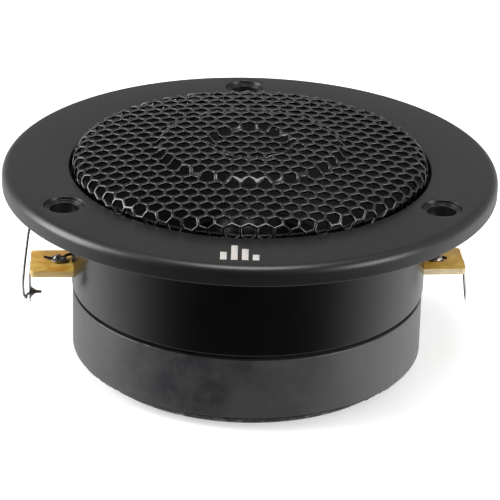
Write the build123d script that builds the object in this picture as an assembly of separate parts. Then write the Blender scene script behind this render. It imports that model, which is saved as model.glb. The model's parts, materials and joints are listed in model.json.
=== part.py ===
"""Horn-loaded dome tweeter for a car, with its screw-down flange, mesh grille and series capacitor.

Frame: origin at the centre of the rear plate's outer face, +Z out of the sound opening, +Y to the
flange's single top screw hole.  The terminal boards leave the barrel near -X and +X.  Millimetres.
"""

import math
import os

from build123d import *

# --- Stack along the axis (heights above the rear face) -------------------------------------
REAR_PLATE_THICK = 3.0
GLUE_THICK = 0.2
MAGNET_THICK = 13.2
TOP_PLATE_THICK = 3.8
BARREL_GAP = 0.8
FLANGE_THICK = 4.2
FACE_Z = 44.2

MAGNET_Z = REAR_PLATE_THICK + GLUE_THICK
MAGNET_TOP_Z = MAGNET_Z + MAGNET_THICK
TOP_PLATE_Z = MAGNET_TOP_Z + GLUE_THICK
SEAT_Z = TOP_PLATE_Z + TOP_PLATE_THICK
BARREL_Z = MAGNET_TOP_Z + BARREL_GAP
FLANGE_Z = FACE_Z - FLANGE_THICK

# --- Front casting --------------------------------------------------------------------------
FLANGE_R = 52.5
FLANGE_ROUND = 1.9
FLANGE_LOWER_ROUND = 0.3
BARREL_TOP_R = 38.1
BARREL_BOTTOM_R = 37.8
BARREL_CHAMFER = 0.6
BARREL_ROOT_ROUND = 0.8
PLATE_RECESS_R = 34.8
CAVITY_IN_R = 24.0
CAVITY_OUT_R = 33.0
CAVITY_IN_Z = 29.5
CAVITY_OUT_Z = 35.0
RELIEF_R = 18.7
RELIEF_Z = 24.7
THROAT_R = 13.6
LEDGE_Z = 25.5
HORN_START_R = 15.6
HORN_START_Z = 26.7
HORN_MOUTH_R = 36.0
HORN_MOUTH_Z = 44.0
MOUTH_LIP_ROUND = 0.2
GROOVE_IN_R = 36.6
GROOVE_DEPTH = 2.2
OPENING_R = 38.2
OPENING_ROUND = 0.4
BOSS_R = 4.2
RIB_THICK = 2.0

# --- Flange screw holes ---------------------------------------------------------------------
HOLE_COUNT = 3
HOLE_PCD = 89.4
HOLE_R = 3.0
HOLE_FIRST_ANGLE = 92.26
COUNTERBORE_R = 4.2
COUNTERBORE_DEPTH = 0.5
INNER_STEP_R = 3.55
INNER_STEP_DEPTH = 0.3

# --- Mesh grille ----------------------------------------------------------------------------
MESH_R = 37.6
MESH_THICK = 0.8
MESH_CROWN_RADIUS = 332.0
MESH_APEX_Z = FACE_Z + 4.7
MESH_BEND_R = 2.4
MESH_PITCH = 3.43
MESH_OPENING = 2.75
MESH_TURN = 0.8
MESH_OFFSET = (1.24, 0.09)
MESH_OPEN_R = 33.4
EMBOSS_OUT_R = 18.7
EMBOSS_IN_R = 9.3
EMBOSS_HEIGHT = 1.1
EMBOSS_FLANK = 0.9

# --- Foil mark on the flange ----------------------------------------------------------------
MARK_CENTRE = (-1.6, -45.6)
MARK_BAR_HEIGHTS = (3.6, 6.8, 5.2, 2.6)
MARK_BAR_WIDTH = 1.3
MARK_BAR_PITCH = 2.15
MARK_THICK = 0.08

# --- Motor ----------------------------------------------------------------------------------
REAR_PLATE_R = 34.0
REAR_PLATE_CHAMFER = 0.5
POLE_R = 12.3
MAGNET_R = 37.6
MAGNET_BORE_R = 16.0
MAGNET_CHAMFER = 0.5
GLUE_IN_R = 17.0
GLUE_REAR_R = 33.5
GLUE_FRONT_R = 34.2
TOP_PLATE_R = 34.5
TOP_PLATE_BORE_R = 13.65

# --- Screws and pins inside -----------------------------------------------------------------
BODY_SCREW_COUNT = 4
BODY_SCREW_CIRCLE_R = 27.5
BODY_SCREW_FIRST_ANGLE = 49.3
SCREW_R = 2.0
SCREW_HEAD_R = 3.8
SCREW_HEAD_HEIGHT = 1.8
SCREW_TIP_Z = 29.0
SCREW_CLEARANCE = 0.05
SCREW_SOCKET_R = 1.2
SCREW_SOCKET_DEPTH = 1.2
PIN_R = 0.9
PIN_CIRCLE_R = 21.2
PIN_ANGLES = (94.3, 274.3)
PIN_LOW_Z = SEAT_Z - 2.0
PIN_TOP_Z = SEAT_Z + 4.0

# --- Diaphragm assembly ---------------------------------------------------------------------
RING_IN_R = 16.5
RING_OUT_R = 23.0
RING_THICK = 1.6
EAR_WIDTH = 7.0
EAR_OUT_R = 27.0
GASKET_IN_R = 18.8
GASKET_THICK = 0.7
COIL_FORMER_IN_R = 12.6
COIL_FORMER_R = 12.75
COIL_R = 13.25
COIL_HEIGHT = 2.8
DOME_RISE = 4.6
DOME_THICK = 0.2
SURROUND_THICK = 0.15
SURROUND_ROLL_R = 1.5
SURROUND_OUT_R = 18.5
PAD_R = 10.0
PAD_THICK = 2.0

RING_TOP_Z = SEAT_Z + RING_THICK
COIL_MID_Z = TOP_PLATE_Z + TOP_PLATE_THICK / 2
DOME_BASE_Z = RING_TOP_Z + 0.3
CLAMP_Z = RING_TOP_Z + GASKET_THICK

# --- Phase plug -----------------------------------------------------------------------------
PLUG_R = 9.4
PLUG_RING_R = 13.0
PLUG_GAP = 1.0
PLUG_SHOULDER_R = 8.6
PLUG_SHOULDER_Z = 29.0
PLUG_TIP_Z = 35.2
VANE_COUNT = 3
VANE_FIRST_ANGLE = 32.3
VANE_THICK = 1.6
VANE_TOP_Z = 29.6

# --- Terminals ------------------------------------------------------------------------------
TERMINAL_ANGLES = {"left": 183.8, "right": 4.8}
BOARD_THICK = 1.4
BOARD_WIDTH = 11.0
BOARD_IN_R = 27.4
BOARD_OUT_R = 46.6
BOARD_CORNER_R = 0.9
SLOT_SIDE_GAP = 0.3
SLOT_HEIGHT = 2.6
RIVET_POS_R = 41.2
RIVET_OFFSET = {"left": -0.3, "right": -0.3}
RIVET_R = 1.1
RIVET_BORE_R = 0.5
RIVET_HEAD_R = 1.9
RIVET_HEAD_THICK = 0.3
TAB_THICK = 0.3
TAB_WIDTH = 6.3
TAB_IN_R = 38.9
TAB_DROP = 7.8
TAB_TIP_ROUND = 1.9
TAB_EYE_R = 0.7
TAB_EYE_Z = 14.5
TAB_SKEW = {"left": 0.0, "right": -9.6}
SOLDER_FOOT_R = 1.75
SOLDER_HEIGHT = 1.2
CONE_FOOT_R = 1.5
CONE_HEIGHT = 1.8
LEAD_WIRE_R = 0.3

BOARD_TOP_Z = SEAT_Z + BOARD_THICK
TAB_OUT_R = BOARD_OUT_R + TAB_THICK
TAB_TIP_Z = SEAT_Z - TAB_DROP

# --- Series capacitor -----------------------------------------------------------------------
CAP_ANGLE = 137.0
CAP_R = 4.0
CAP_LENGTH = 16.0
CAP_Z = 30.0
CAP_STANDOFF = 0.6
CAP_SEAL_DEPTH = 0.8
CAP_ROLL = 0.4
CAP_LEAD_R = 0.28
CAP_AXIS_R = BARREL_TOP_R + CAP_STANDOFF + CAP_R
GLUE_BED_WIDTH = 5.0
GLUE_BED_LENGTH = 11.0


# --- Helpers --------------------------------------------------------------------------------
def around(angle, solid):
    """Turn a solid about the part's axis, by degrees."""
    return Rot(0, 0, angle) * solid


def turned(*points):
    """Solid of revolution from (radius, height) corners."""
    return revolve(Plane.XZ * make_face(Polyline(*points, close=True)), Axis.Z)


def turned_edges(*edges):
    """Solid of revolution from a closed chain of edges drawn as (radius, height)."""
    return revolve(Plane.XZ * make_face(Wire(list(edges))), Axis.Z)


def ring(inner, outer, low, high):
    return turned((inner, low), (outer, low), (outer, high), (inner, high))


def rod(radius, low, high, x=0.0, y=0.0):
    return Pos(x, y, low) * extrude(Circle(radius), high - low)


def block(x_range, y_range, z_range):
    size = [high - low for low, high in (x_range, y_range, z_range)]
    centre = [(low + high) / 2 for low, high in (x_range, y_range, z_range)]
    return Pos(*centre) * Box(*size)


def round_edges(solid, radius, height):
    """The circular edges of one radius at one height, centred on the axis."""
    found = []
    for edge in solid.edges().filter_by(GeomType.CIRCLE):
        if abs(edge.radius - radius) < 0.01 and abs(edge.arc_center.Z - height) < 0.01:
            found.append(edge)
    return found


def wire_along(points, radii, wire_r):
    """Round wire along straight runs joined by tangent arcs."""
    path = FilletPolyline(*points, radius=radii)
    return sweep(Plane(path @ 0, z_dir=path % 0) * Circle(wire_r), path)


def on_circle(radius, first_angle, count):
    return [(radius, first_angle + 360 / count * i) for i in range(count)]


# --- Front casting: flange, barrel and horn in one piece -------------------------------------
def horn_radius(height):
    """Exponential flare from the throat insert to the mouth."""
    rate = math.log(HORN_MOUTH_R / HORN_START_R) / (HORN_MOUTH_Z - HORN_START_Z)
    return HORN_START_R * math.exp(rate * (height - HORN_START_Z))


def casting_outline():
    """Half section of the casting.  The mesh's skirt stands in the groove round the horn's mouth."""
    groove_z = FACE_Z - GROOVE_DEPTH
    steps = 5
    heights = [HORN_START_Z + (HORN_MOUTH_Z - HORN_START_Z) * i / steps for i in range(steps + 1)]
    flare = Spline(*[(horn_radius(z), z) for z in heights])
    corners = [
        (HORN_MOUTH_R, HORN_MOUTH_Z),
        (GROOVE_IN_R, HORN_MOUTH_Z),
        (GROOVE_IN_R, groove_z),
        (OPENING_R, groove_z),
        (OPENING_R, FACE_Z),
        (FLANGE_R, FACE_Z),
        (FLANGE_R, FLANGE_Z),
        (BARREL_TOP_R, FLANGE_Z),
        (BARREL_BOTTOM_R, BARREL_Z),
        (PLATE_RECESS_R, BARREL_Z),
        (PLATE_RECESS_R, SEAT_Z),
        (CAVITY_OUT_R, SEAT_Z),
        (CAVITY_OUT_R, CAVITY_OUT_Z),
        (CAVITY_IN_R, CAVITY_IN_Z),
        (CAVITY_IN_R, CLAMP_Z),
        (RELIEF_R, CLAMP_Z),
        (RELIEF_R, RELIEF_Z),
        (THROAT_R, RELIEF_Z),
        (THROAT_R, LEDGE_Z),
        (HORN_START_R, LEDGE_Z),
        (HORN_START_R, HORN_START_Z),
    ]
    edges = [Line(a, b) for a, b in zip(corners, corners[1:])]
    return turned_edges(flare, *edges)


def flange_screw_holes():
    """Through holes, each with two shallow steps at its mouth."""
    step_z = FACE_Z - COUNTERBORE_DEPTH
    inner_step_z = step_z - INNER_STEP_DEPTH
    hole = turned(
        (0, FLANGE_Z - 1),
        (HOLE_R, FLANGE_Z - 1),
        (HOLE_R, inner_step_z),
        (INNER_STEP_R, inner_step_z),
        (INNER_STEP_R, step_z),
        (COUNTERBORE_R, step_z),
        (COUNTERBORE_R, FACE_Z + 1),
        (0, FACE_Z + 1),
    )
    places = on_circle(HOLE_PCD / 2, HOLE_FIRST_ANGLE, HOLE_COUNT)
    return [around(angle, Pos(radius, 0, 0) * hole) for radius, angle in places]


def add_screw_bosses(body):
    """Bosses for the body screws, each with a rib to the cavity's wall."""
    rib_x = (BODY_SCREW_CIRCLE_R, CAVITY_OUT_R + 1)
    rib_y = (-RIB_THICK / 2, RIB_THICK / 2)
    rib = block(rib_x, rib_y, (SEAT_Z + 2, CAVITY_IN_Z + 3))
    boss = rod(BOSS_R, SEAT_Z, CAVITY_IN_Z + 2.5, BODY_SCREW_CIRCLE_R)
    pilot = rod(SCREW_R + SCREW_CLEARANCE, SEAT_Z - 1, SCREW_TIP_Z + 0.5, BODY_SCREW_CIRCLE_R)
    places = on_circle(BODY_SCREW_CIRCLE_R, BODY_SCREW_FIRST_ANGLE, BODY_SCREW_COUNT)
    for _, angle in places:
        body += around(angle, boss) + around(angle, rib)
    for _, angle in places:
        body -= around(angle, pilot)
    return body


def front_body():
    body = casting_outline()
    body = fillet(round_edges(body, FLANGE_R, FACE_Z), FLANGE_ROUND)
    body = fillet(round_edges(body, FLANGE_R, FLANGE_Z), FLANGE_LOWER_ROUND)
    body = fillet(round_edges(body, OPENING_R, FACE_Z), OPENING_ROUND)
    body = fillet(round_edges(body, GROOVE_IN_R, HORN_MOUTH_Z), MOUTH_LIP_ROUND)
    body = fillet(round_edges(body, BARREL_TOP_R, FLANGE_Z), BARREL_ROOT_ROUND)
    body = chamfer(round_edges(body, BARREL_BOTTOM_R, BARREL_Z), BARREL_CHAMFER)
    body = add_screw_bosses(body)
    for angle in PIN_ANGLES:
        body -= around(angle, rod(PIN_R + SCREW_CLEARANCE, SEAT_Z, PIN_TOP_Z + 0.3, PIN_CIRCLE_R))
    half_slot = BOARD_WIDTH / 2 + SLOT_SIDE_GAP
    slot_z = (SEAT_Z - 0.1, SEAT_Z + SLOT_HEIGHT)
    slot = block((CAVITY_OUT_R - 4, FLANGE_R), (-half_slot, half_slot), slot_z)
    for angle in TERMINAL_ANGLES.values():
        body -= around(angle, slot)
    for hole in flange_screw_holes():
        body -= hole
    return body


# --- Mesh grille -----------------------------------------------------------------------------
def crown_z(radius):
    """Height of the pressed mesh's outer face over its nearly flat middle."""
    return MESH_APEX_Z - MESH_CROWN_RADIUS + math.sqrt(MESH_CROWN_RADIUS**2 - radius**2)


def crown_arc(start_r, end_r, lift):
    middle = (start_r + end_r) / 2
    return ThreePointArc(*[(r, crown_z(r) + lift) for r in (start_r, middle, end_r)])


def mesh_face(drop):
    """One face of the pressed mesh, from the centre to the rim; drop is its depth in the sheet."""
    bend_r = MESH_BEND_R - drop
    bend_centre_r = MESH_R - MESH_BEND_R
    slope = bend_centre_r / MESH_CROWN_RADIUS
    bend_start_r = bend_centre_r + bend_r * slope
    bend_start_z = crown_z(bend_start_r) - drop
    bend_centre_z = bend_start_z - bend_r * math.cos(slope)
    mid_angle = math.radians(45)
    mid_point = (bend_centre_r + bend_r * math.cos(mid_angle), bend_centre_z + bend_r * math.sin(mid_angle))
    low_end = (MESH_R - drop, FACE_Z - GROOVE_DEPTH)
    inner_base = EMBOSS_IN_R - EMBOSS_FLANK
    outer_base = EMBOSS_OUT_R + EMBOSS_FLANK
    inner_crown = crown_arc(0, inner_base, -drop)
    raised_crown = crown_arc(EMBOSS_IN_R, EMBOSS_OUT_R, EMBOSS_HEIGHT - drop)
    outer_crown = crown_arc(outer_base, bend_start_r, -drop)
    bend = ThreePointArc((bend_start_r, bend_start_z), mid_point, (MESH_R - drop, bend_centre_z))
    return [
        inner_crown,
        Line(inner_crown @ 1, raised_crown @ 0),
        raised_crown,
        Line(raised_crown @ 1, outer_crown @ 0),
        outer_crown,
        bend,
        Line(bend @ 1, low_end),
    ]


def mesh_openings():
    """Hexagonal holes in staggered rows over the crown, corners pointing to +Y and -Y."""
    row_step = MESH_PITCH * math.sqrt(3) / 2
    reach = math.ceil(MESH_OPEN_R / row_step) + 1
    hexagon = RegularPolygon(MESH_OPENING / 2, 6, major_radius=False, rotation=30)
    centres = []
    for row in range(-reach, reach + 1):
        for column in range(-reach - 2, reach + 3):
            x = MESH_PITCH * (column + 0.5 * (row % 2)) + MESH_OFFSET[0]
            y = row_step * row + MESH_OFFSET[1]
            if math.hypot(x, y) < MESH_OPEN_R:
                centres.append((x, y))
    holes = Sketch() + [Pos(x, y) * hexagon for x, y in centres]
    return Pos(0, 0, FACE_Z - 1) * extrude(Rot(0, 0, MESH_TURN) * holes, 12)


def grille():
    outer = mesh_face(0)
    inner = mesh_face(MESH_THICK)
    axis_line = Line(inner[0] @ 0, outer[0] @ 0)
    foot_line = Line(outer[-1] @ 1, inner[-1] @ 1)
    return turned_edges(axis_line, *outer, foot_line, *inner) - mesh_openings()


def front_mark():
    """Four plain foil bars standing on one line, like a level meter."""
    left = MARK_CENTRE[0] - MARK_BAR_PITCH * (len(MARK_BAR_HEIGHTS) - 1) / 2
    base = MARK_CENTRE[1] - max(MARK_BAR_HEIGHTS) / 2
    bars = []
    for i, height in enumerate(MARK_BAR_HEIGHTS):
        x = left + MARK_BAR_PITCH * i
        half = MARK_BAR_WIDTH / 2
        bars.append(block((x - half, x + half), (base, base + height), (FACE_Z, FACE_Z + MARK_THICK)))
    return Compound(children=bars)


# --- Phase plug -------------------------------------------------------------------------------
def dome_sphere():
    """Radius and centre height of the dome's outer sphere."""
    radius = (COIL_FORMER_R**2 + DOME_RISE**2) / (2 * DOME_RISE)
    return radius, DOME_BASE_Z + DOME_RISE - radius


def dome_z(radius, offset):
    """Height of the dome's outer face at a radius, moved out along its normal by offset."""
    sphere_r, centre_z = dome_sphere()
    return centre_z + math.sqrt((sphere_r + offset) ** 2 - radius**2)


def phase_plug():
    under = ThreePointArc(*[(r, dome_z(r, PLUG_GAP)) for r in (0, PLUG_R / 2, PLUG_R)])
    side = Line(under @ 1, (PLUG_SHOULDER_R, PLUG_SHOULDER_Z))
    nose_height = PLUG_TIP_Z - PLUG_SHOULDER_Z
    nose_sphere_r = (PLUG_SHOULDER_R**2 + nose_height**2) / (2 * nose_height)
    nose_mid_r = PLUG_SHOULDER_R / 2
    nose_mid_z = PLUG_TIP_Z - nose_sphere_r + math.sqrt(nose_sphere_r**2 - nose_mid_r**2)
    nose = ThreePointArc(side @ 1, (nose_mid_r, nose_mid_z), (0, PLUG_TIP_Z))
    axis_line = Line(nose @ 1, under @ 0)
    plug = turned_edges(under, side, nose, axis_line)
    seat_ring = ring(PLUG_RING_R, HORN_START_R, LEDGE_Z, HORN_START_Z)
    vane_out_r = (PLUG_RING_R + HORN_START_R) / 2
    for radius, angle in on_circle(PLUG_R / 2, VANE_FIRST_ANGLE, VANE_COUNT):
        vane = make_face(
            Polyline(
                (radius, PLUG_SHOULDER_Z - 0.5),
                (PLUG_R - 1, LEDGE_Z + 1.0),
                (vane_out_r, LEDGE_Z + 0.1),
                (vane_out_r, HORN_START_Z),
                (PLUG_SHOULDER_R, VANE_TOP_Z),
                (radius, VANE_TOP_Z),
                close=True,
            )
        )
        plate = extrude(Plane.XZ * vane, VANE_THICK / 2, both=True)
        plug += around(angle, plate)
    return plug + seat_ring


# --- Motor ------------------------------------------------------------------------------------
def yoke():
    plate = ring(0, REAR_PLATE_R, 0, REAR_PLATE_THICK)
    plate = chamfer(round_edges(plate, REAR_PLATE_R, 0), REAR_PLATE_CHAMFER)
    return plate + rod(POLE_R, REAR_PLATE_THICK, SEAT_Z)


def magnet():
    body = ring(MAGNET_BORE_R, MAGNET_R, MAGNET_Z, MAGNET_TOP_Z)
    edges = round_edges(body, MAGNET_R, MAGNET_Z) + round_edges(body, MAGNET_R, MAGNET_TOP_Z)
    return chamfer(edges, MAGNET_CHAMFER)


def screw_profile(clearance):
    """Countersunk screw or its hole, head down at the top plate's rear face."""
    head_top = TOP_PLATE_Z + SCREW_HEAD_HEIGHT
    return [
        (0, TOP_PLATE_Z),
        (SCREW_HEAD_R + clearance, TOP_PLATE_Z),
        (SCREW_R + clearance, head_top),
        (SCREW_R + clearance, SCREW_TIP_Z),
        (0, SCREW_TIP_Z),
    ]


def top_plate():
    plate = ring(TOP_PLATE_BORE_R, TOP_PLATE_R, TOP_PLATE_Z, SEAT_Z)
    hole = turned(*screw_profile(SCREW_CLEARANCE))
    for radius, angle in on_circle(BODY_SCREW_CIRCLE_R, BODY_SCREW_FIRST_ANGLE, BODY_SCREW_COUNT):
        plate -= around(angle, Pos(radius, 0, 0) * hole)
    for angle in PIN_ANGLES:
        plate -= around(angle, rod(PIN_R + SCREW_CLEARANCE, PIN_LOW_Z, SEAT_Z + 1, PIN_CIRCLE_R))
    return plate


def body_screws():
    screw = turned(*screw_profile(0))
    socket = extrude(RegularPolygon(SCREW_SOCKET_R, 6), SCREW_SOCKET_DEPTH)
    screw -= Pos(0, 0, TOP_PLATE_Z) * socket
    places = on_circle(BODY_SCREW_CIRCLE_R, BODY_SCREW_FIRST_ANGLE, BODY_SCREW_COUNT)
    return Compound(children=[around(angle, Pos(radius, 0, 0) * screw) for radius, angle in places])


def locating_pins():
    pin = chamfer(round_edges(rod(PIN_R, PIN_LOW_Z, PIN_TOP_Z), PIN_R, PIN_TOP_Z), 0.3)
    return Compound(children=[around(angle, Pos(PIN_CIRCLE_R, 0, 0) * pin) for angle in PIN_ANGLES])


# --- Diaphragm assembly -----------------------------------------------------------------------
def with_pin_holes(solid):
    for angle in PIN_ANGLES:
        solid -= around(angle, rod(PIN_R + SCREW_CLEARANCE, SEAT_Z - 1, CLAMP_Z + 1, PIN_CIRCLE_R))
    return solid


def diaphragm_ring():
    body = ring(RING_IN_R, RING_OUT_R, SEAT_Z, RING_TOP_Z)
    for angle in TERMINAL_ANGLES.values():
        ear = block((RING_OUT_R - 1, EAR_OUT_R), (-EAR_WIDTH / 2, EAR_WIDTH / 2), (SEAT_Z, RING_TOP_Z))
        body += around(angle, ear)
    return with_pin_holes(body)


def dome():
    """Thin spherical cap; its rim sits on top of the coil former."""
    outer = ThreePointArc(*[(r, dome_z(r, 0)) for r in (0, COIL_FORMER_R / 2, COIL_FORMER_R)])
    inner_radii = (COIL_FORMER_R - DOME_THICK, COIL_FORMER_R / 2, 0)
    inner = ThreePointArc(*[(r, dome_z(r, -DOME_THICK)) for r in inner_radii])
    return turned_edges(outer, Line(outer @ 1, inner @ 0), inner, Line(inner @ 1, outer @ 0))


def coil_former():
    top = dome_z(COIL_FORMER_R - DOME_THICK, -DOME_THICK)
    low = COIL_MID_Z - COIL_HEIGHT / 2
    return ring(COIL_FORMER_IN_R, COIL_FORMER_R, low, min(top, DOME_BASE_Z) - 0.01)


def voice_coil():
    half = COIL_HEIGHT / 2
    return ring(COIL_FORMER_R, COIL_R, COIL_MID_Z - half, COIL_MID_Z + half)


def surround():
    """Thin half roll between the coil former's top and the diaphragm ring."""
    land_low = RING_TOP_Z
    inner_r = COIL_FORMER_R + 0.02
    roll_in_r = RING_IN_R - 2 * SURROUND_ROLL_R
    roll_mid_r = RING_IN_R - SURROUND_ROLL_R
    under_r = SURROUND_ROLL_R - SURROUND_THICK
    top_z = land_low + SURROUND_THICK
    outer_crown = (roll_mid_r, top_z + SURROUND_ROLL_R)
    under_crown = (roll_mid_r, top_z + under_r)
    under_ends = ((roll_mid_r + under_r, land_low), (roll_mid_r - under_r, land_low))
    return turned_edges(
        Line((inner_r, land_low), (inner_r, top_z)),
        Line((inner_r, top_z), (roll_in_r, top_z)),
        ThreePointArc((roll_in_r, top_z), outer_crown, (RING_IN_R, top_z)),
        Line((RING_IN_R, top_z), (SURROUND_OUT_R, top_z)),
        Line((SURROUND_OUT_R, top_z), (SURROUND_OUT_R, land_low)),
        Line((SURROUND_OUT_R, land_low), under_ends[0]),
        ThreePointArc(under_ends[0], under_crown, under_ends[1]),
        Line(under_ends[1], (inner_r, land_low)),
    )


# --- Terminals: drawn along +X, then turned to their side -------------------------------------
def terminal_board(side):
    blank = block((BOARD_IN_R, BOARD_OUT_R), (-BOARD_WIDTH / 2, BOARD_WIDTH / 2), (SEAT_Z, BOARD_TOP_Z))
    outer_edges = blank.edges().filter_by(Axis.Z).sort_by(Axis.X)[-2:]
    blank = fillet(outer_edges, BOARD_CORNER_R)
    blank -= rod(RIVET_R, SEAT_Z - 1, BOARD_TOP_Z + 1, RIVET_POS_R, RIVET_OFFSET[side])
    return around(TERMINAL_ANGLES[side], blank)


def solder_tab(side):
    """Strip riveted under the board and bent down at its end, more or less square to the board."""
    half = TAB_WIDTH / 2
    strip = block((TAB_IN_R, TAB_OUT_R), (-half, half), (SEAT_Z - TAB_THICK, SEAT_Z))
    leg = block((BOARD_OUT_R, TAB_OUT_R), (-half, half), (TAB_TIP_Z, SEAT_Z))
    tip_edges = leg.edges().filter_by(Axis.X).sort_by(Axis.Z)[:2]
    tab = strip + fillet(tip_edges, TAB_TIP_ROUND)
    tab -= rod(RIVET_R, SEAT_Z - 2, SEAT_Z + 1, RIVET_POS_R, RIVET_OFFSET[side])
    tab -= Pos(BOARD_OUT_R - 1, 0, TAB_EYE_Z) * Rot(0, 90, 0) * extrude(Circle(TAB_EYE_R), 3)
    rivet_place = Pos(RIVET_POS_R, RIVET_OFFSET[side], 0)
    turned_on_rivet = rivet_place * Rot(0, 0, TAB_SKEW[side]) * rivet_place.inverse() * tab
    return around(TERMINAL_ANGLES[side], turned_on_rivet)


def rivet(side):
    """Hollow eyelet through the board and the tab."""
    low = SEAT_Z - TAB_THICK
    eyelet = turned(
        (RIVET_BORE_R, low - RIVET_HEAD_THICK),
        (RIVET_HEAD_R, low - RIVET_HEAD_THICK),
        (RIVET_HEAD_R, low),
        (RIVET_R, low),
        (RIVET_R, BOARD_TOP_Z),
        (RIVET_HEAD_R, BOARD_TOP_Z),
        (RIVET_HEAD_R, BOARD_TOP_Z + RIVET_HEAD_THICK),
        (RIVET_BORE_R, BOARD_TOP_Z + RIVET_HEAD_THICK),
    )
    return around(TERMINAL_ANGLES[side], Pos(RIVET_POS_R, RIVET_OFFSET[side], 0) * eyelet)


def lead_out_path(side):
    """From the diaphragm ring's ear, through the slot, over the rivet, to a cut end."""
    shift = RIVET_OFFSET[side]
    over = BOARD_TOP_Z + RIVET_HEAD_THICK + LEAD_WIRE_R
    return [
        (EAR_OUT_R - 2.6, 0.6, RING_TOP_Z + LEAD_WIRE_R),
        (EAR_OUT_R + 2.0, 1.0, RING_TOP_Z + LEAD_WIRE_R),
        (TAB_IN_R - 0.8, -0.8 + shift, over + 0.1),
        (RIVET_POS_R, shift, over + 0.15),
        (RIVET_POS_R + 2.5, 0.5 + shift, over + 0.05),
    ]


def lead_out(side):
    return around(TERMINAL_ANGLES[side], wire_along(lead_out_path(side), 0.9, LEAD_WIRE_R))


def solder_joint(side, lead):
    """Solder mound over the rivet head, around the lead."""
    base = BOARD_TOP_Z + RIVET_HEAD_THICK
    foot = (SOLDER_FOOT_R, base)
    shoulder = (SOLDER_FOOT_R * 0.62, base + SOLDER_HEIGHT * 0.72)
    top = (0, base + SOLDER_HEIGHT)
    mound = turned_edges(Line((0, base), foot), ThreePointArc(foot, shoulder, top), Line(top, (0, base)))
    return around(TERMINAL_ANGLES[side], Pos(RIVET_POS_R, RIVET_OFFSET[side], 0) * mound) - lead


# --- Series capacitor: drawn along its own axis (+X), then set beside the barrel ----------------
def beside_barrel(solid):
    return around(CAP_ANGLE, Pos(CAP_AXIS_R, 0, CAP_Z) * Rot(0, 0, -90) * solid)


def along_x(profile_solid):
    return Rot(0, 90, 0) * profile_solid


def capacitor_case():
    half = CAP_LENGTH / 2
    can = along_x(rod(CAP_R, -half, half))
    can = fillet([edge for edge in can.edges().filter_by(GeomType.CIRCLE)], CAP_ROLL)
    for low in (-half, half - CAP_SEAL_DEPTH):
        can -= along_x(rod(CAP_R - CAP_ROLL - 0.1, low, low + CAP_SEAL_DEPTH))
    return beside_barrel(can)


def capacitor_seals():
    half = CAP_LENGTH / 2
    seals = []
    for low, high in ((-half + 0.1, -half + CAP_SEAL_DEPTH), (half - CAP_SEAL_DEPTH, half - 0.1)):
        disc = rod(CAP_R - CAP_ROLL - 0.1, low, high) - rod(CAP_LEAD_R, low - 1, high + 1)
        seals.append(beside_barrel(along_x(disc)))
    return Compound(children=seals)


def capacitor_glue():
    """Bed of adhesive that holds the can to the barrel."""
    half = GLUE_BED_LENGTH / 2
    bed = block(
        (BARREL_TOP_R - 3, CAP_AXIS_R - CAP_R * 0.4),
        (-half, half),
        (CAP_Z - GLUE_BED_WIDTH / 2, CAP_Z + GLUE_BED_WIDTH / 2),
    )
    bed = around(CAP_ANGLE, bed)
    barrel_side = ((BARREL_BOTTOM_R, BARREL_Z), (BARREL_TOP_R, FLANGE_Z))
    barrel = turned((0, BARREL_Z), *barrel_side, (0, FLANGE_Z))
    return bed - barrel - beside_barrel(along_x(rod(CAP_R, -CAP_LENGTH, CAP_LENGTH)))


def cap_end(direction, reach):
    """Point on the can's axis, beyond one of its ends."""
    along = direction * (CAP_LENGTH / 2 - CAP_SEAL_DEPTH + reach)
    angle = math.radians(CAP_ANGLE)
    x = CAP_AXIS_R * math.cos(angle) + along * math.sin(angle)
    y = CAP_AXIS_R * math.sin(angle) - along * math.cos(angle)
    return (x, y, CAP_Z)


def tab_eye_point(reach):
    """Point on the left tab's eye axis, at a distance outside the tab's outer face."""
    angle = math.radians(TERMINAL_ANGLES["left"])
    radius = TAB_OUT_R + reach
    return (radius * math.cos(angle), radius * math.sin(angle), TAB_EYE_Z)


def capacitor_lead_to_tab():
    """Down beside the terminal board, round below the left tab's eye and in through it."""
    points = [
        cap_end(-1, 0),
        cap_end(-1, 4.0),
        (-47.6, 13.5, 26.3),
        (-48.35, 4.0, 18.5),
        (-48.45, -1.9, 14.3),
        (-47.5, -3.0, 12.5),
        tab_eye_point(0.6),
        tab_eye_point(-2.6),
    ]
    return wire_along(points, [1.4, 3.0, 4.0, 2.0, 0.5, 0.5], CAP_LEAD_R)


def capacitor_lead_free():
    """Bare tail for the incoming wire, bent down and closed in a small hook."""
    x, y, z = cap_end(1, 3.2)
    points = [
        cap_end(1, 0),
        (x, y, z),
        (x - 0.6, y + 0.4, z - 7),
        (x - 2.6, y + 1.6, z - 8.5),
        (x - 2.8, y + 1.7, z - 5.5),
    ]
    return wire_along(points, [1.4, 1.0, 1.0], CAP_LEAD_R)


def tab_solder_joint(lead):
    """Pointed cone of solder round the lead on the tab's inner face."""
    foot = (CONE_FOOT_R, 0)
    tip = (CAP_LEAD_R + 0.07, CONE_HEIGHT)
    waist = (CONE_FOOT_R * 0.41, CONE_HEIGHT * 0.39)
    cone = turned_edges(
        Line((0, 0), foot),
        ThreePointArc(foot, waist, tip),
        Line(tip, (0, CONE_HEIGHT)),
        Line((0, CONE_HEIGHT), (0, 0)),
    )
    cone = Pos(BOARD_OUT_R, 0, TAB_EYE_Z) * Rot(0, -90, 0) * cone
    return around(TERMINAL_ANGLES["left"], cone) - lead


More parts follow.
